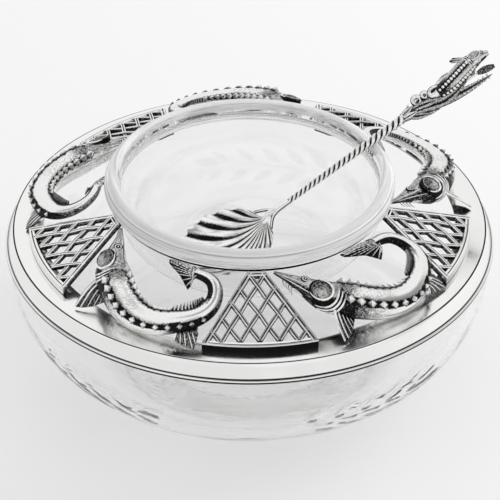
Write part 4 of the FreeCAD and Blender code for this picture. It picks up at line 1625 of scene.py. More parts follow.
@dataclass
class Sturgeon:
    """One cast sturgeon of the gallery, in the gap that follows a panel along +X."""

    levels: Levels
    shop: Workshop
    tones: SkinTones = SkinTones()
    full_width: float = 13.2
    full_depth: float = 10.0
    body_length: float = 92.0
    stations: int = 170
    sides: int = 60
    side_row: PlateRow = PlateRow(0.31, 0.75, -24.0, -60.0, 12, 0.5)
    back_row: PlateRow = PlateRow(0.275, 0.63, 56.0, 62.0, 11, 0.62)
    scute_length: float = 4.5
    scute_width: float = 1.08
    scute_rise: float = 2.2
    gill_share: float = 0.205
    gill_angle: float = -14.0
    gill_radius: float = 5.0
    gill_height: float = 0.88
    gill_rise: float = 1.7
    eye_share: float = 0.125
    eye_angle: float = 25.0
    comb_teeth: int = 11
    play: float = 0.2
    form: FishBody = field(init=False)

    def __post_init__(self) -> None:
        """Work out the middle line and girth."""
        s = self.levels
        radius = s.ring_edge + SPINE[:, 1] * (s.panel_end - s.ring_edge)
        angle = np.radians(SPINE[:, 0] * PITCH)
        height = s.gallery_height(radius) + SPINE[:, 3] * self.full_depth
        plan = [radius * np.cos(angle), radius * np.sin(angle)]
        path = SmoothPath(np.column_stack([*plan, height]))
        self.form = FishBody(path, SPINE[:, 2], self.full_width, self.full_depth, self._facing)

    def _facing(self, points: np.ndarray) -> np.ndarray:
        """Up at points, square to the gallery's slope."""
        return unit_rows(unit_rows(points * (1.0 - UP)) * self.levels.gallery_slope + UP)

    def _skin(self) -> Surface:
        """The body, keeled along its rows.

        Returns:
            The closed body.
        """
        shares = np.linspace(0, 1, self.stations)
        degrees = np.arange(self.sides) * 360.0 / self.sides - 180.0
        from_row = []
        for row in (self.side_row, self.back_row):
            part = np.clip((shares - row.start) / (row.end - row.start), -0.2, 1.25)
            from_row.append(degrees[None, :] - row.angle(part)[:, None])
        from_side, from_back = from_row
        keel = 0.07 * np.exp(-(from_side / 13) ** 2) + 0.09 * np.exp(-(from_back / 12) ** 2)
        rings = self.form.rings(shares, degrees, 1 + keel * ramp(shares, 0.22, 0.08)[:, None])
        spread = np.broadcast_to(degrees[None, :], rings.shape[:2])
        way = np.broadcast_to(shares[:, None], rings.shape[:2])
        return rings_surface(rings, self._polish(way, spread, from_side, from_back))

    def _polish(self, way: np.ndarray, spread: np.ndarray, from_side: np.ndarray,
                from_back: np.ndarray) -> np.ndarray:
        """Polish of the skin, painted part over part from the belly to the face.

        Args:
            way: place along the fish of each point.
            spread: its angle round the body.
            from_side: degrees from the row on the flank, more towards the back.
            from_back: degrees from the row on the back.

        Returns:
            The polish of each point.
        """
        tone = self.tones
        # Belly, with painted shade where it turns under, and the black throat that fades into it
        low = from_side < -12
        shine = np.where(low, tone.belly, np.where(way < 0.5, tone.front_flank, tone.rear_flank))
        under = (tone.belly - tone.belly_underside_shade - 0.18 * (way < 0.6)) * ramp(-from_side, 42, 30)
        shine = np.where(low, shine - under, shine)
        throat = tone.throat + 0.78 * ramp(way, 0.33, 0.14)
        shine = np.where(low & (way < 0.47), throat, shine)
        # Back, the skin between the two rows with painted shade near each row, and a black line
        # along each row
        shine = np.where(from_back > 12, tone.back, shine)
        clear = ramp(np.minimum(np.abs(from_side), np.abs(from_back)), 11, 16)
        row_shade = tone.row_side_shade + (shine - tone.row_side_shade) * clear
        shine = np.where((from_side > 0) & (from_back < 0), row_shade, shine)
        for from_row in (from_side, from_back):
            shine = np.where(np.abs(from_row) < 13, tone.plate_edge, shine)
        # Nape behind the gill cover, and the loin before the tail
        nape = (way < 0.36) & (from_side > 13) & (from_back < -13)
        shine = np.where(nape, tone.nape + 0.5 * ramp(way, 0.30, 0.06), shine)
        loin = (way > 0.60) & (np.abs(from_side + 16) < 40)
        shine = np.where(loin, shine + (tone.loin - shine) * ramp(way, 0.60, 0.05), shine)
        # Root of the tail: its back, its flank and its belly
        tail = np.where((spread > 15) & (spread < 165), tone.tail[0],
                        np.where(spread > -45, tone.tail[1], tone.tail[2]))
        fade = ramp(-way, -0.84, 0.06)
        shine = np.where(way > 0.78, tail + (shine - tail) * fade, shine)
        # Face: its underside with painted shade, its brow and its cheek; under the gill cover a
        # black painted shadow
        face = np.where(spread < -28, tone.face[0],
                        np.where(spread > 62, tone.face[1], tone.face[2]))
        face = np.where((way > 0.19) & (spread < -30), tone.under_gill_shadow, face)
        shine = np.where(way < 0.27, face, shine)
        grain = np.random.default_rng(11).uniform(-1, 1, shine.shape)
        grey = (shine > 0.15) & (shine < 0.88)
        return np.clip(shine + grain * np.where(grey, tone.stipple, tone.least_stipple), 0, 1)

    def _plates(self, row: PlateRow) -> Surface:
        """A row of bony plates that get smaller towards the tail.

        Args:
            row: which row.

        Returns:
            The closed plates.
        """
        part = np.linspace(0, 1, row.count)
        foot, out, along = self.form.skin(row.start + (row.end - row.start) * part,
                                          row.angle(part), 0.25)
        size = 1 + (row.last_size - 1) * part
        measure = np.column_stack([self.scute_length * size,
                                   self.scute_length * self.scute_width * size,
                                   self.scute_rise * size])
        return self.shop.stud("scute", foot, out, along, measure)

    def _gill(self) -> list[Surface]:
        """Gill cover with a rough middle, a bright rear rim, and three folds behind it.

        Returns:
            The closed surfaces.
        """
        centre, out, along, across = self.form.spot(self.gill_share, self.gill_angle)

        def disc(angles: np.ndarray, reach: float) -> np.ndarray:
            """Points of the cover at angles and a share of its radius."""
            size = self.gill_radius * reach
            return oval(centre, along, across, size, size * self.gill_height, angles)

        rng = np.random.default_rng(5)
        sides = 40
        # Share of the radius, rise and polish, from the foot of the cover to its middle
        levels = ((1.0, -0.9, 0.0), (1.0, 0.10, 0.05), (0.90, 0.40, 0.05), (0.82, 0.52, 0.28),
                  (0.66, 0.70, 0.38), (0.5, 0.84, 0.42), (0.33, 0.94, 0.44), (0.16, 1.0, 0.44),
                  (0.03, 1.02, 0.44))
        rings, shine = [], []
        for reach, rise, level in levels:
            rough = rng.uniform(-0.12, 0.12, sides) * (reach < 0.85)
            height = rise * self.gill_rise + rough - 0.5
            rings.append(disc(around(sides), reach) + out * height[:, None])
            # Random mottle, and painted shade: each ring lighter on one side of the cover and
            # darker on the other
            mottle_and_shade = rng.uniform(-0.08, 0.08, sides) + 0.13 * np.cos(around(sides) + 0.9)
            shine.append(level + mottle_and_shade * (level > 0.1))
        parts = [rings_surface(np.array(rings), np.clip(np.array(shine), 0, 1))]
        dots = disc(np.radians(np.arange(95, 200, 14.0)), 0.80) + out * 0.5
        parts.append(self.shop.stud("bead", dots, out, along, (1.0, 1.0, 1.0), 0.5))
        rear = disc(np.radians(np.linspace(-140, 104, 30)), 0.97) + out * 0.25
        front = disc(np.radians(np.linspace(118, 220, 14)), 1.0) + out * 0.1
        lines = [Line(rear, 0.60 * np.sin(np.linspace(0.15, 2.99, 30)) ** 0.7, out),
                 Line(front, 0.24, out, 0.2)]
        for k in range(3):
            arc = np.radians(np.linspace(-92 + 6 * k, 16 - 8 * k, 16))
            reach = (1.18 + 0.24 * k) * self.gill_radius
            shares = self.gill_share + np.cos(arc) * reach / self.body_length
            lean = -12.0 + np.degrees(np.sin(arc) * reach / 4.9)
            foot, outward, _ = self.form.skin(shares, np.clip(lean, -122, 70), 0.15 + 0.1 * k)
            lines.append(Line(foot, 0.56 * np.sin(np.linspace(0.2, 2.94, 16)) ** 0.8, outward))
        parts.append(self.shop.sweep(Section.ROUND, lines))
        return parts

    def _face(self) -> list[Surface]:
        """Eye with its ring, nostrils, barbels, mouth, and the edges of the head.

        Returns:
            The closed surfaces.
        """
        form, lines = self.form, []
        centre, out, along, across = form.spot(self.eye_share, self.eye_angle, 0.1)
        for radius, thick, level in ((0.72, 0.26, 0.0), (1.22, 0.30, 0.95), (1.72, 0.22, 0.0)):
            ring = oval(centre, along, across, radius, radius) - out * 0.12 * radius
            lines.append(Line(ring, thick, out, level, True))
        eye = self.shop.stud("bead", centre - out * 0.15, out, along, (1.0, 1.0, 0.6))
        for share, degrees in ((0.078, 12.0), (0.090, 20.0)):
            foot, out, along, across = form.spot(share, degrees, 0.02)
            ring = oval(foot, along, across, 0.5, 0.34, around(10))
            lines.append(Line(ring, 0.16, out, 0.9, True))
        for k, share in enumerate((0.045, 0.06, 0.075, 0.09)):
            foot, out, along, _ = form.spot(share, -105.0, -0.2)
            t = np.linspace(0, 1, 7)[:, None]
            hair = foot + out * t * (2.0 + 0.25 * k) + along * t ** 2 * 1.6 - UP * t * 0.5
            lines.append(Line(hair, 0.30 - 0.17 * t[:, 0], UP, 0.45))
        # Two lips, then the brow, the cheek and the jaw: angle on the head and thickness
        for start, end, count, ease, polish, edges in (
                (0.10, 0.15, 9, 0.4, 0.8, ((-88.0, 0.36), (-104.0, 0.42))),
                (0.03, 0.20, 20, 0.3, 1.0, ((52.0, 0.24), (-14.0, 0.22), (-44.0, 0.24)))):
            for degrees, thick in edges:
                foot, out, _ = form.skin(np.linspace(start, end, count), degrees,
                                         0.05 if polish < 1 else 0.03)
                taper = np.sin(np.linspace(ease, 3.14 - ease, count))
                lines.append(Line(foot, thick * taper, out, polish))
        return [eye, self.shop.sweep(Section.ROUND, lines)]

    def _comb(self) -> Surface:
        """The saw edged fin on the back.

        Returns:
            The closed teeth.
        """
        shares = np.linspace(0.645, 0.81, self.comb_teeth)
        foot, out, along = self.form.skin(shares, 68.0, -0.1)
        size = np.sin(np.linspace(0.6, 2.6, self.comb_teeth))
        measure = np.column_stack([np.full_like(size, 1.1), np.full_like(size, 1.3),
                                   2.6 * size + 0.7])
        return self.shop.stud("tooth", foot, out, along, measure)

    def _fins(self) -> list[Surface]:
        """The fin behind the gills, the belly fin, and the tail with its ladder.

        Returns:
            The closed fins.
        """
        root, edge = np.array(TAIL.root), np.array(TAIL.edge)
        t = np.linspace(0.12, 0.95, 14)[:, None]
        outer = edge[0] + (edge[2] - edge[0]) * t
        inner = root[0] + (edge[3] - root[0]) * (0.25 + 0.70 * t)
        rungs = [Line(np.array([a, b]) + UP * 0.42, 0.22) for a, b in zip(outer, inner)]
        return [plan.surface(self.shop) for plan in (PECTORAL, BELLY_FIN, TAIL)] + [
            self.shop.sweep(Section.ROUND, rungs)]

    def surface(self) -> Surface:
        """The whole fish, kept clear of the ring and the lip and resting on the flange.

        Returns:
            Its closed surfaces.
        """
        whole = Surface.joined([
            self._skin(), self._plates(self.side_row), self._plates(self.back_row),
            *self._gill(), *self._face(), self._comb(), *self._fins()])
        s = self.levels
        points = whole.points
        radius = np.hypot(points[:, 0], points[:, 1])
        # Beside the lip, beside the ring, and under the ring
        least = np.where(points[:, 2] > s.seat_height + 0.9, s.seat_radius + 3.55,
                         np.where(points[:, 2] > s.seat_height - s.seat_wire - self.play,
                                  s.ring_edge + s.ring_gap, s.seat_radius - 0.9))
        points[:, :2] *= (np.maximum(radius, least) / radius)[:, None]
        points[:, 2] = np.maximum(points[:, 2], s.flange_top + 0.01)
        return whole


# ---------------- spoon

# Middle line of the finial's sturgeon: share of the finial's length, aside, up, and share
# of the full width
FINIAL_SPINE = np.array([
    (0.430, 1.9, 1.6, 0.14), (0.385, 2.9, 1.5, 0.22), (0.330, 2.2, 1.2, 0.28),
    (0.312, 0.4, 0.9, 0.32), (0.345, -1.2, 0.9, 0.46), (0.420, -1.7, 1.2, 0.82),
    (0.520, -1.3, 1.5, 1.00), (0.630, -0.4, 1.9, 1.04), (0.740, 0.6, 2.2, 1.00),
    (0.840, 1.2, 2.3, 0.86), (0.920, 0.9, 2.2, 0.60), (0.985, 0.1, 1.8, 0.26)])
FINIAL_UP = np.array([0.0, -0.5, 0.866])
FINIAL_ASIDE = np.array([0.0, 0.866, 0.5])
FINIAL_ROWS = (-58.0, 5.0)

# Leaves of the finial: half width, and points measured from the end of the stem
LONG_LEAF = ((1.0, 0.0, -0.4), (9.0, -2.4, -0.8), (18.0, -5.6, -0.9), (27.0, -7.8, -0.9),
             (34.0, -8.8, -0.9), (41.0, -8.7, -1.4))
LEAVES = (
    (2.2, LONG_LEAF),
    (2.1, ((1.0, 0.0, 0.0), (10.0, -3.0, -0.2), (18.0, -6.4, -0.2), (24.0, -6.3, 0.3),
           (31.5, -4.4, 0.2))),
    (1.9, ((1.0, 0.0, -0.8), (7.0, -3.4, -1.2), (14.0, -7.0, -1.6))),
    (1.7, ((1.0, 0.4, 0.2), (9.0, -1.2, 0.6), (15.0, -3.9, 0.4), (21.0, -5.4, 0.2))),
    (1.5, ((1.0, -0.6, -0.6), (5.5, -4.0, -1.0), (9.5, -6.4, -1.4))),
    (1.6, ((1.0, 0.6, -0.6), (10.0, 2.6, -0.8), (20.0, 3.4, -0.9), (28.0, 2.6, -1.2))),
    (1.4, ((1.0, 0.4, -0.9), (8.0, 1.8, -1.4), (15.0, 3.4, -1.6))))
BULRUSH_STEM = ((1.0, 0.0, -0.2), (14.0, -2.6, -0.3), (26.0, -4.0, -0.2), (37.0, -4.9, 0.2))
BULRUSH_HEAD = ((36.3, -4.7, 0.2), (40.0, -5.6, 0.2), (44.0, -6.9, 0.1))


def straight(x: np.ndarray) -> np.ndarray:
    """Points on the stem's middle line at distances from the root of the shell."""
    return np.column_stack([x, 0 * x, 0 * x])


@dataclass
class Spoon:
    """A scallop shell, a rope twisted stem and a finial of a sturgeon among reeds."""

    shop: Workshop
    bowl: CaviarBowl
    turn: float = 31.0
    shell_bearing: float = -121.4
    shell_wall_gap: float = 5.9
    shell_radius: float = 20.0
    shell_depth: float = 9.0
    shell_sheet: float = 1.1
    shell_pitch: float = 14.0
    shell_floor_gap: float = 0.5
    flute_height: float = 0.7
    flute_share: float = 0.62
    flutes: int = 13
    fan_degrees: float = 76.0
    knuckle_length: float = 5.0
    neck_length: float = 9.4
    neck_radius: float = 1.3
    stem_length: float = 63.0
    stem_radius: float = 2.3
    strands: int = 3
    first_lay: float = 6.9
    last_lay: float = 9.5
    lip_gap: float = 0.55
    finial_length: float = 47.0

    @property
    def neck_start(self) -> float:
        """Where the plain neck starts."""
        return self.knuckle_length * 0.32

    @property
    def stem_start(self) -> float:
        """Where the twisted part starts."""
        return self.neck_start + self.neck_length

    @property
    def stem_end(self) -> float:
        """Where the twisted part ends."""
        return self.stem_start + self.stem_length

    def half_width(self, x: Numbers) -> Numbers:
        """Half the stem's thickness at a distance from the root of the shell."""
        share = ramp(x, self.stem_start, self.stem_length)
        return self.neck_radius + (self.stem_radius - self.neck_radius) * share

    def placed(self) -> tuple[Matrix, float]:
        """Where the spoon rests, in millimetres.

        Returns:
            The place of the shell's root, and the tilt of the stem in degrees.
        """
        turn, pitch = math.radians(self.turn), math.radians(self.shell_pitch)
        radius, corner, bowl = self.shell_radius, self.bowl.corner, self.bowl
        hang = self.shell_depth + self.shell_sheet + self.flute_height
        middle_rise = self.shell_floor_gap + hang * math.cos(pitch)
        far_rise = min(middle_rise - radius * math.sin(pitch), corner)
        wall = bowl.inside - corner + math.sqrt(corner ** 2 - (corner - far_rise) ** 2)
        bearing = math.radians(self.shell_bearing)
        heading = np.array([math.cos(turn), math.sin(turn)])
        middle = (wall - radius - self.shell_wall_gap) * np.array([math.cos(bearing),
                                                                   math.sin(bearing)])
        root = middle + radius * heading
        height = bowl.floor + middle_rise + radius * math.sin(pitch)
        crown_radius = bowl.lip_corner - bowl.lip_top_width / 2
        crown_rise = bowl.lip_crown - math.sqrt(
            bowl.lip_crown ** 2 - (bowl.lip_top_width / 2) ** 2)
        back = root @ heading
        reach = -back + math.sqrt(back ** 2 + crown_radius ** 2 - root @ root)
        rise = (bowl.lip_top + crown_rise + self.lip_gap
                + float(self.half_width(reach)) * 1.08 - height)
        tilt = math.atan2(rise, reach)
        place = (Matrix.Translation((root[0], root[1], height)) @ Matrix.Rotation(turn, 4, "Z")
                 @ Matrix.Rotation(-tilt, 4, "Y"))
        return place, math.degrees(tilt)

    def shell(self, tilt: float) -> Surface:
        """The fluted shell with the fork of the stem that grips its root.

        Args:
            tilt: tilt of the stem in degrees, which the shell doesn't follow.

        Returns:
            The closed surfaces.
        """
        steps, rows = self.flutes * 12, 26
        radius, root = self.shell_radius, self.shell_radius * 0.1
        fan_angle = np.radians(np.linspace(-self.fan_degrees, self.fan_degrees, steps + 1))
        crest = -np.cos(TURN * np.linspace(0, self.flutes, steps + 1))
        share = np.linspace(0, 1, rows)[:, None]
        edge = 2 * radius * np.cos(fan_angle) * (1 + 0.022 * crest)
        reach = root + (edge - root)[None, :] * share
        x, y = -reach * np.cos(fan_angle), reach * np.sin(fan_angle)
        hollow = np.clip(1 - ((x + radius) ** 2 + y ** 2) / radius ** 2, 0, None)
        flute = crest * self.flute_height * np.minimum(1, 2.5 * share) * self.flute_share
        top = np.stack([x, y, flute - self.shell_depth * hollow], axis=-1)
        # Bright crests and black troughs, and a painted reflection that darkens the troughs most
        # in a patch on the far side
        shine = np.clip(0.98 + 0.90 * crest, 0.0, 1.0)[None, :] * np.ones((rows, 1))
        far = ramp(np.degrees(fan_angle), 18, 10)[None, :]
        outer = np.exp(-((share - 0.74) / 0.17) ** 2)
        trough = ramp(-crest, -0.50, 0.9)[None, :]
        shine = shine * (1 - 0.86 * far * outer * trough)
        shell = plate_surface(top, top - UP * self.shell_sheet, shine, 0.6)
        lean = Matrix.Rotation(math.radians(tilt - self.shell_pitch), 4, "Y")
        return Surface.joined([shell.moved(lean), self._fork()])

    def _fork(self) -> Surface:
        """Two prongs with black edges of painted shade and a tongue between them, on the root of
        the shell.

        Returns:
            The closed surfaces.
        """
        t = np.linspace(0, 1, 12)
        rods = []
        for side in (-1, 1):
            line = np.column_stack([5.0 - 6.6 * t, side * (1.2 + 5.6 * t ** 1.3),
                                    0.2 - 0.3 * t + 0.8 * np.sin(np.pi * t)])
            rods.append(Line(line, 0.62 - 0.22 * t, UP, 0.9))
            # Black rods along both sides of each prong: painted shade
            for off, thick in ((0.62, 0.26), (-0.58, 0.30)):
                rods.append(Line(line + np.array([0.0, side * off, 0.05]), thick, UP, 0.0))
        line = np.column_stack([5.0 - 7.5 * t, 0 * t, 0.5 - 0.7 * t + 0.9 * np.sin(np.pi * t)])
        rods.append(Line(line, 1.2 - 0.7 * t))
        return self.shop.sweep(Section.ROUND, rods)

    def stem(self) -> Surface:
        """The plain neck and the rope of three strands, black between them.

        Returns:
            The closed surfaces.
        """
        x = np.linspace(self.neck_start, self.stem_start + 1.0, 12)
        thick = self.neck_radius * np.interp(x, x[[0, 4, -1]], [1.75, 1.25, 1.0])
        neck = [Line(straight(x), thick, UP, 0.95)]
        # A black line along each side of the neck: painted shade
        for side in (-1, 1):
            edge = straight(x) + np.column_stack([0 * thick, side * 0.98 * thick, 0.12 * thick])
            neck.append(Line(edge, 0.17, UP, 0.0))
        x = np.linspace(self.stem_start - 0.6, self.stem_end + 0.4, 360)
        half = self.half_width(x)
        lay = self.first_lay + (self.last_lay - self.first_lay) * (x - x[0]) / (x[-1] - x[0])
        angle = np.concatenate([[0], np.cumsum(TURN * np.diff(x) / lay[1:])])
        ease = np.minimum(1, np.minimum((x - x[0]) / 2.0, (x[-1] - x) / 2.0) + 0.3)
        strands = []
        for k in range(self.strands):
            a = angle + TURN * k / self.strands
            middle = np.column_stack([x, half * 0.56 * np.cos(a), -half * 0.56 * np.sin(a)])
            strands.append(Line(middle, half * 0.44 * ease))
        rope = self.shop.sweep(Section.ROUND, strands)
        reach = np.hypot(rope.points[:, 1], rope.points[:, 2]) / self.half_width(rope.points[:, 0])
        rope.shine = ramp(reach, 0.74, 0.14)
        core = Line(straight(x)[::12], 0.62 * half[::12], UP, 0.0)
        return Surface.joined([self.shop.sweep(Section.ROUND, neck), rope,
                               self.shop.sweep(Section.ROUND, [core])])

    def finial(self) -> Surface:
        """A small sturgeon on its side, head outermost and tail curled, over water plants.

        Returns:
            The closed surfaces.
        """
        rows = FINIAL_SPINE
        path = SmoothPath(np.column_stack([
            self.stem_end + rows[:, 0] * self.finial_length, rows[:, 1], rows[:, 2]]))
        form = FishBody(path, rows[:, 3], 7.7, 6.4,
                        lambda points: np.tile(FINIAL_UP, (len(points), 1)))
        parts, lines = [self._fish_skin(form)], []
        for side in (1, -1):
            flank, edges = self._flank(form, side)
            parts += flank
            lines += edges
        parts.append(self.shop.sweep(Section.ROUND, lines))
        return Surface.joined(parts + self._fins(form) + self._reeds() + self._whorl())

    def _fish_skin(self, form: FishBody) -> Surface:
        """The body of the finial's fish, the same on both flanks.

        Args:
            form: its middle line and girth.

        Returns:
            The closed body.
        """
        shares = np.linspace(0, 1, 110)
        degrees = np.arange(36) * 10.0 - 180.0
        rings = form.rings(shares, degrees)
        # Polish by the height on the flank, with painted shade towards its upper and lower edges,
        # then of the tail, the throat and the head
        height = np.degrees(np.arcsin(np.sin(np.radians(degrees))))
        level = np.interp(height, [-90, -74, -42, -22, 22, 56, 78, 90],
                          [0.0, 0.1, 0.62, 0.62, 0.34, 0.62, 0.6, 0.1])
        level = np.tile(level, (len(shares), 1))
        for row in FINIAL_ROWS:
            level = np.where(np.abs(height[None, :] - row) < 17, 0.0, level)
        way = shares[:, None]
        level = level * (0.3 + 0.7 * ramp(way, 0.34, 0.12))
        tail = np.interp(height, [-90, -58, -20, 34, 60, 90], [0.0, 0.05, 0.85, 0.85, 0.1, 0.0])
        level = np.where(way < 0.27, tail[None, :], level)
        head = np.interp(height, [-90, -74, -50, 50, 76, 90], [0.0, 0.15, 0.66, 0.66, 0.3, 0.05])
        return rings_surface(rings, np.where(way > 0.765, head[None, :], level))

    def _flank(self, form: FishBody, side: int) -> tuple[list[Surface], list[Line]]:
        """Plates, gill cover, folds, eye and mouth on one flank of the finial's fish.

        Args:
            form: its middle line and girth.
            side: 1 for the upper flank, -1 for the other.

        Returns:
            The closed surfaces, and the lines still to be swept.
        """
        def spread(angle_up: Numbers) -> Numbers:
            """The angle on this flank of the fish."""
            return angle_up if side > 0 else 180.0 - angle_up

        parts, lines = [], []
        for row in FINIAL_ROWS:
            places = np.linspace(0.30, 0.75, 12)
            foot, out, ways = form.skin(places, spread(row), 0.1)
            size = 0.8 + 1.05 * form.width_share(places)
            parts.append(self.shop.stud("bead", foot, out, ways,
                                        np.column_stack([size, size * 0.9, size * 0.55])))
        centre, out, ahead, across = form.spot(0.835, spread(16.0))
        cover = self.shop.stud("bead", centre, out, ahead, (5.6, 3.6, 0.8))
        cover.shine[:] = 0.5
        parts.append(cover)
        lines.append(Line(oval(centre, ahead, across, 2.9, 1.9), 0.28, out, 1.0, True))
        for share in (0.755, 0.730):
            fold, outward, _ = form.skin(np.full(9, share), spread(np.linspace(-26, 60, 9)), 0.05)
            lines.append(Line(fold, 0.32, outward, 1.0))
            lines.append(Line(fold + ahead * 0.5, 0.26, outward, 0.0))
        centre, out, ahead, across = form.spot(0.925, spread(14.0), 0.05)
        for radius, polish in ((0.34, 1.0), (0.64, 0.0)):
            ring = oval(centre, ahead, across, radius, radius)
            lines.append(Line(ring, 0.18, out, polish, True))
        mouth, outward, _ = form.skin(np.linspace(0.89, 0.965, 8), spread(-58.0), 0.05)
        lines.append(Line(mouth, 0.26, outward, 0.0))
        return parts, lines

    def _fins(self, form: FishBody) -> list[Surface]:
        """Side fins and the tail, spread along the back, of the finial's fish.

        Args:
            form: its middle line and girth.

        Returns:
            The closed fins.
        """
        parts = []
        for side, size in ((90.0, 1.0), (-104.0, 0.6)):
            root, out, way, _ = form.spot(0.735, side, -0.4)
            edge = np.array([root + (out * a - way * b) * size for a, b in (
                (2.0, 0.4), (3.5, 2.2), (3.6, 4.4), (2.2, 4.2), (1.2, 3.0))])
            parts.append(Fin((root + way * 1.1, root - way * 1.1), edge,
                             [(v, 0.24) for v in (0, *QUARTERS, 1.0)], 0.5).surface(self.shop))
        foot = np.array([self.stem_end, 0.0, 0.0])
        ends = foot + np.array([(19.4, 2.9, 1.9), (20.6, 1.9, 1.9)])
        edge = foot + np.array([(21.4, 3.9, 2.0), (24.3, 4.6, 2.2), (27.2, 4.0, 2.5),
                                (25.8, 3.2, 2.5), (23.8, 2.7, 2.4), (22.2, 2.3, 2.2)])
        rays = [(v, 0.22) for v in np.linspace(0, 1, 7)]
        return parts + [Fin(ends, edge, rays, 0.6).surface(self.shop)]

    def _reeds(self) -> list[Surface]:
        """Leaves, a bulrush, scrolls and beads on the long leaf.

        Returns:
            The closed surfaces.
        """
        t = np.linspace(0, 1, 20)
        foot = np.array([self.stem_end, 0.0, 0.0])

        def stroke(points: Sequence[tuple[float, float, float]]) -> np.ndarray:
            """A smooth line through points measured from the end of the stem."""
            return foot + SmoothPath(np.array(points)).at(t)

        leaves = []
        for half, points in LEAVES:
            width = half * np.clip(np.sin(np.pi * (0.12 + 0.86 * t)), 0.06, None)
            leaves.append(Line(stroke(points), width, FINIAL_UP, 0.62))
        parts = [self.shop.sweep(Section.LEAF, leaves)]
        bulge = 0.4 + 1.2 * np.sin(np.pi * np.clip(t, 0.04, 0.96)) ** 0.5
        rods = [Line(stroke(BULRUSH_STEM), 0.5, UP, 0.95),
                Line(stroke(BULRUSH_HEAD), bulge, UP, 0.28)]
        # Two scrolls: a black rod with a thinner bright one on it, the black rod as painted shade
        # under the bright one
        for radius, middle, side in ((2.2, 8.8, 2.5), (1.5, 13.0, 2.4)):
            curl = np.linspace(0, 1.6 * TURN, 30)
            turn = radius * (1 - 0.42 * curl / curl[-1])
            line = np.column_stack([self.stem_end + middle + turn * np.cos(curl),
                                    side + turn * np.sin(curl) * 0.8,
                                    1.2 + turn * np.sin(curl) * 0.6])
            thick = 0.8 - 0.3 * curl / curl[-1]
            rods += [Line(line, thick, UP, 0.0), Line(line + FINIAL_UP * 0.35, 0.68 * thick)]
        parts.append(self.shop.sweep(Section.ROUND, rods))
        spots = [stroke(LONG_LEAF)[10:19] + FINIAL_ASIDE * y + FINIAL_UP * 0.3
                 for y in (-0.9, 0.9)]
        spots.append(foot + np.array([(8.0, 2.2, 1.3), (9.4, 2.6, 1.6), (8.8, 3.2, 2.0)]))
        parts.append(self.shop.stud("bead", np.vstack(spots), FINIAL_UP,
                                    np.array([1.0, 0.0, 0.0]), (1.1, 1.1, 0.6)))
        return parts

    def _whorl(self) -> list[Surface]:
        """The ring of small leaves at the end of the stem, with a core, where all sprouts.

        Returns:
            The closed surfaces.
        """
        t = np.linspace(0, 1, 16)
        count, leaves = 7, []
        for k in range(count):
            a = TURN * k / count
            out = np.array([0.0, math.cos(a), math.sin(a)])
            reach = (2.0 + 1.4 * t ** 2) * (0.8 + 0.3 * t)
            line = straight(self.stem_end - 1.8 + 7.0 * t) + reach[:, None] * out
            leaves.append(Line(line, 1.25 * np.sin(np.pi * (0.15 + 0.8 * t)), out))
        core = Line(straight(self.stem_end - 1.0 + 6.5 * t), 2.1 - 0.7 * t, UP, 0.2)
        return [self.shop.sweep(Section.LEAF, leaves), self.shop.sweep(Section.ROUND, [core])]


# ---------------- studio

@dataclass(frozen=True)
class Softbox:
    """A square lamp that points at the object; metal and glass don't show it."""

    name: str
    place: tuple[float, float, float]
    power: float
    size: float = 0.9

    def build(self, target: Vector) -> None:
        """Put the lamp in the scene.

        Args:
            target: the point that it shines at.
        """
        lamp = bpy.data.lights.new(self.name, "AREA")
        lamp.shape = "SQUARE"
        lamp.size = self.size
        lamp.energy = self.power
        made = bpy.data.objects.new(self.name, lamp)
        made.location = self.place
        made.visible_glossy = False
        made.visible_transmission = False
        made.rotation_euler = (target - Vector(self.place)).to_track_quat("-Z", "Y").to_euler()
        bpy.context.scene.collection.objects.link(made)


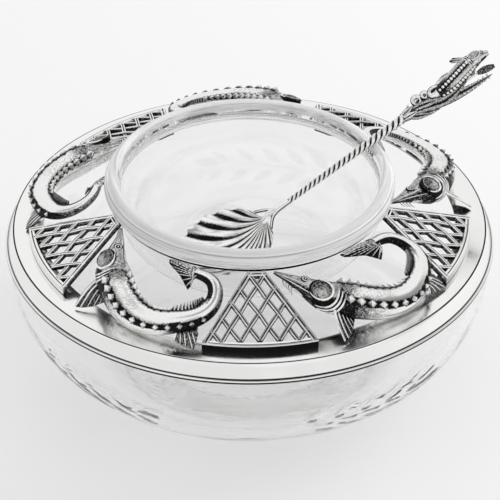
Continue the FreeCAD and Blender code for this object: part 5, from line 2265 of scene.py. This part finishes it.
@dataclass
class Studio:
    """A pale table, soft light and the camera at the photograph's angle. Lengths are in
    metres here, the table's level apart."""

    lens: float = 214.7
    sensor: float = 36.0
    distance: float = 1.24467
    far_end: float = 60.0
    elevation: float = 34.91
    target: tuple[float, float, float] = (0.0002, -0.02149, 0.070)
    lamps: tuple[Softbox, ...] = (Softbox("key_softbox", (0.98, 0.42, 0.78), 7.6),
                                  Softbox("fill_softbox", (-0.2, 1.0, 1.0), 1.0))
    lamp_target: tuple[float, float, float] = (0.0, 0.0, 0.05)
    table_reach: float = 12.0
    table_level_mm: float = -0.06
    table_tint: str = "FCFCFC"
    table_lift: float = 0.46
    white: str = "FAFAFA"
    soft_light: float = 0.66
    card_scale: float = 2.3
    cards: Band = Band(0.40, 0.54, 0.34, 1.0)
    back_wall: Band = Band(0.32, 0.59, 0.0, 0.97)
    front_wall: Band = Band(-0.36, -0.56, 0.0, 0.90)

    def build(self) -> None:
        """Make table, world, lights and camera."""
        self._table()
        self._world()
        for lamp in self.lamps:
            lamp.build(Vector(self.lamp_target))
        self._camera()
        view = bpy.context.scene.view_settings
        view.view_transform = "Standard"
        paths = bpy.context.scene.cycles
        paths.max_bounces = 32
        paths.glossy_bounces = 24
        paths.transmission_bounces = 32

    def _brightest(self, tree: NodeTree,
                   levels: Sequence[NodeSocket]) -> NodeSocket:
        """The highest of several levels.

        Args:
            tree: the tree that they are in.
            levels: the levels, two or more.

        Returns:
            The highest, at each point.
        """
        top = levels[0]
        for level in levels[1:]:
            top = add_node(tree, "ShaderNodeMath", operation="MAXIMUM",
                           links={0: top, 1: level}).outputs[0]
        return top

    def _table(self) -> None:
        """A large pale sheet that keeps the shadow; where it is seen it is nearer to white."""
        reach, level = self.table_reach, self.table_level_mm * MM
        table = new_object("table_sheet", np.array([
            (-reach, -reach, level), (reach, -reach, level), (reach, reach, level),
            (-reach, reach, level)]), (), [(0, 1, 2, 3)])
        material, tree, shader = new_material("matt_paper_table")
        shader.inputs["Base Color"].default_value = colour(self.table_tint)
        shader.inputs["Roughness"].default_value = 0.9
        shader.inputs["Specular IOR Level"].default_value = 0.1
        rays = add_node(tree, "ShaderNodeLightPath").outputs
        seen = self._brightest(tree, [rays["Is Camera Ray"], rays["Is Glossy Ray"],
                                      rays["Is Transmission Ray"]])
        share = add_node(tree, "ShaderNodeMath", {1: self.table_lift}, {0: seen},
                         operation="MULTIPLY")
        white = add_node(tree, "ShaderNodeEmission", {"Color": colour(self.white)})
        mixed = add_node(tree, "ShaderNodeMixShader", links={
            0: share, 1: shader, 2: white})
        tree.links.new(mixed.outputs[0], tree.nodes["Material Output"].inputs["Surface"])
        table.data.materials.append(material)

    def _world(self) -> None:
        """White to the camera and through glass, white with soft grey cards between a back
        and a front wall to metal, and plain grey light elsewhere."""
        world = bpy.data.worlds.new("studio")
        bpy.context.scene.world = world
        world.use_nodes = True
        tree = world.node_tree
        tree.nodes.clear()
        rays = add_node(tree, "ShaderNodeLightPath").outputs
        way = add_node(tree, "ShaderNodeTexCoord").outputs["Generated"]
        cards = add_node(tree, "ShaderNodeTexNoise", {"Scale": self.card_scale, "Detail": 0.5},
                         {"Vector": way})
        apart = add_node(tree, "ShaderNodeSeparateXYZ", links={"Vector": way})
        levels = [rays["Is Camera Ray"], rays["Is Transmission Ray"]]
        for source, band in ((cards.outputs[0], self.cards), (apart.outputs["Y"], self.back_wall),
                             (apart.outputs["Y"], self.front_wall)):
            levels.append(add_node(tree, "ShaderNodeMapRange", band.values(),
                                   {"Value": source}).outputs[0])
        seen = self._brightest(tree, levels[:2] + [rays["Is Glossy Ray"]])
        soft = add_node(tree, "ShaderNodeBackground", {"Color": colour("FFFFFF"),
                                                       "Strength": self.soft_light})
        white = add_node(tree, "ShaderNodeBackground", {"Color": colour(self.white)},
                         {"Strength": self._brightest(tree, levels)})
        mixed = add_node(tree, "ShaderNodeMixShader", links={
            0: seen, 1: soft, 2: white})
        add_node(tree, "ShaderNodeOutputWorld", links={"Surface": mixed})

    def _camera(self) -> None:
        """The photograph's view: a long lens, looking down at about 35 degrees."""
        data = bpy.data.cameras.new("camera")
        data.lens = self.lens
        data.sensor_width = self.sensor
        data.clip_end = self.far_end
        camera = bpy.data.objects.new("camera", data)
        lean = math.radians(self.elevation)
        target = Vector(self.target)
        camera.location = target + self.distance * Vector((0, -math.cos(lean), math.sin(lean)))
        camera.rotation_euler = (target - camera.location).to_track_quat("-Z", "Y").to_euler()
        bpy.context.scene.collection.objects.link(camera)
        bpy.context.scene.camera = camera


# ---------------- the whole

@dataclass
class CaviarServer:
    """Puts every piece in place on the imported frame."""

    levels: Levels = field(default_factory=Levels)
    first_panel_angle: float = -87.3
    side_wall_painted_reflection: float = 0.8

    def build(self) -> None:
        """Make the pieces in order, dress them and hand them to the frame."""
        spun = SpunSilver("spun_polished_silver").build()
        cast = CastSilver("oxidised_cast_silver").build()
        spoon_silver = CastSilver("oxidised_spoon_silver", polish_roughness=0.1).build()
        ice_glass = ClearGlass("blown_ice_bowl_glass").build()
        dish_glass = ClearGlass("blown_caviar_bowl_glass", ripple_mm=0.03).build()
        shop = Workshop(cast)
        shop.shape("scute", small_scute())
        shop.shape("tooth", comb_tooth())
        shop.shape("bead", bead())
        bowl = CaviarBowl(self.levels)
        self._keep("ice_bowl", "ice_bowl_glass",
                   IceBowl(self.levels).surface(), ice_glass, 50)
        self._keep("rim_collar", "spun_collar",
                   RimCollar(self.levels).surface(), spun, 30)
        self._keep("seat_ring", "wire_ring",
                   SeatRing(self.levels).surface(shop), spun, 60)
        self._keep("caviar_bowl", "caviar_bowl_glass", bowl.surface(),
                   dish_glass, 50)
        # The wall of the front panel is black in the photograph, that of the others is bright;
        # both are painted reflections, black on the front panel and bright on the others
        front_panel = NetPanel(self.levels, shop).surface()
        side_panel = NetPanel(self.levels, shop, self.side_wall_painted_reflection).surface()
        fish = Sturgeon(self.levels, shop).surface()
        for i in range(FIVE):
            turn = Matrix.Rotation(math.radians(self.first_panel_angle + PITCH * i), 4, "Z")
            panel = front_panel if i == 0 else side_panel
            for node, shape in (("net_panel_%d", panel), ("sturgeon_%d", fish)):
                name = node % (i + 1)
                self._keep(name, name + "_dressed", shape.moved(turn), cast, 35)
        spoon = Spoon(shop, bowl)
        place, tilt = spoon.placed()
        for node, name, shape, crease in (
                ("spoon_bowl", "spoon_shell", spoon.shell(tilt), 50),
                ("spoon_stem", "spoon_rope_stem", spoon.stem(), 50),
                ("spoon_finial", "spoon_reed_finial", spoon.finial(), 40)):
            self._keep(node, name, shape.moved(place), spoon_silver, crease)
        shop.close()

    def _keep(self, node: str, name: str, surface: Surface,
              material: Material, crease_degrees: float) -> None:
        """Make a piece, let it stand for its node of the frame, and report it.

        Args:
            node: the node that it replaces.
            name: its own name.
            surface: its shape.
            material: its finish.
            crease_degrees: edges sharper than this stay sharp.
        """
        piece = make_object(name, surface, material, crease_degrees)
        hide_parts(node)
        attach(piece, "root")
        LOG.info("%s: %d faces", piece.name, len(piece.data.polygons))


def main() -> None:
    logging.basicConfig(level=logging.INFO, format="%(name)s %(message)s")
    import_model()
    CaviarServer().build()
    Studio().build()


if __name__ == "__main__":
    main()
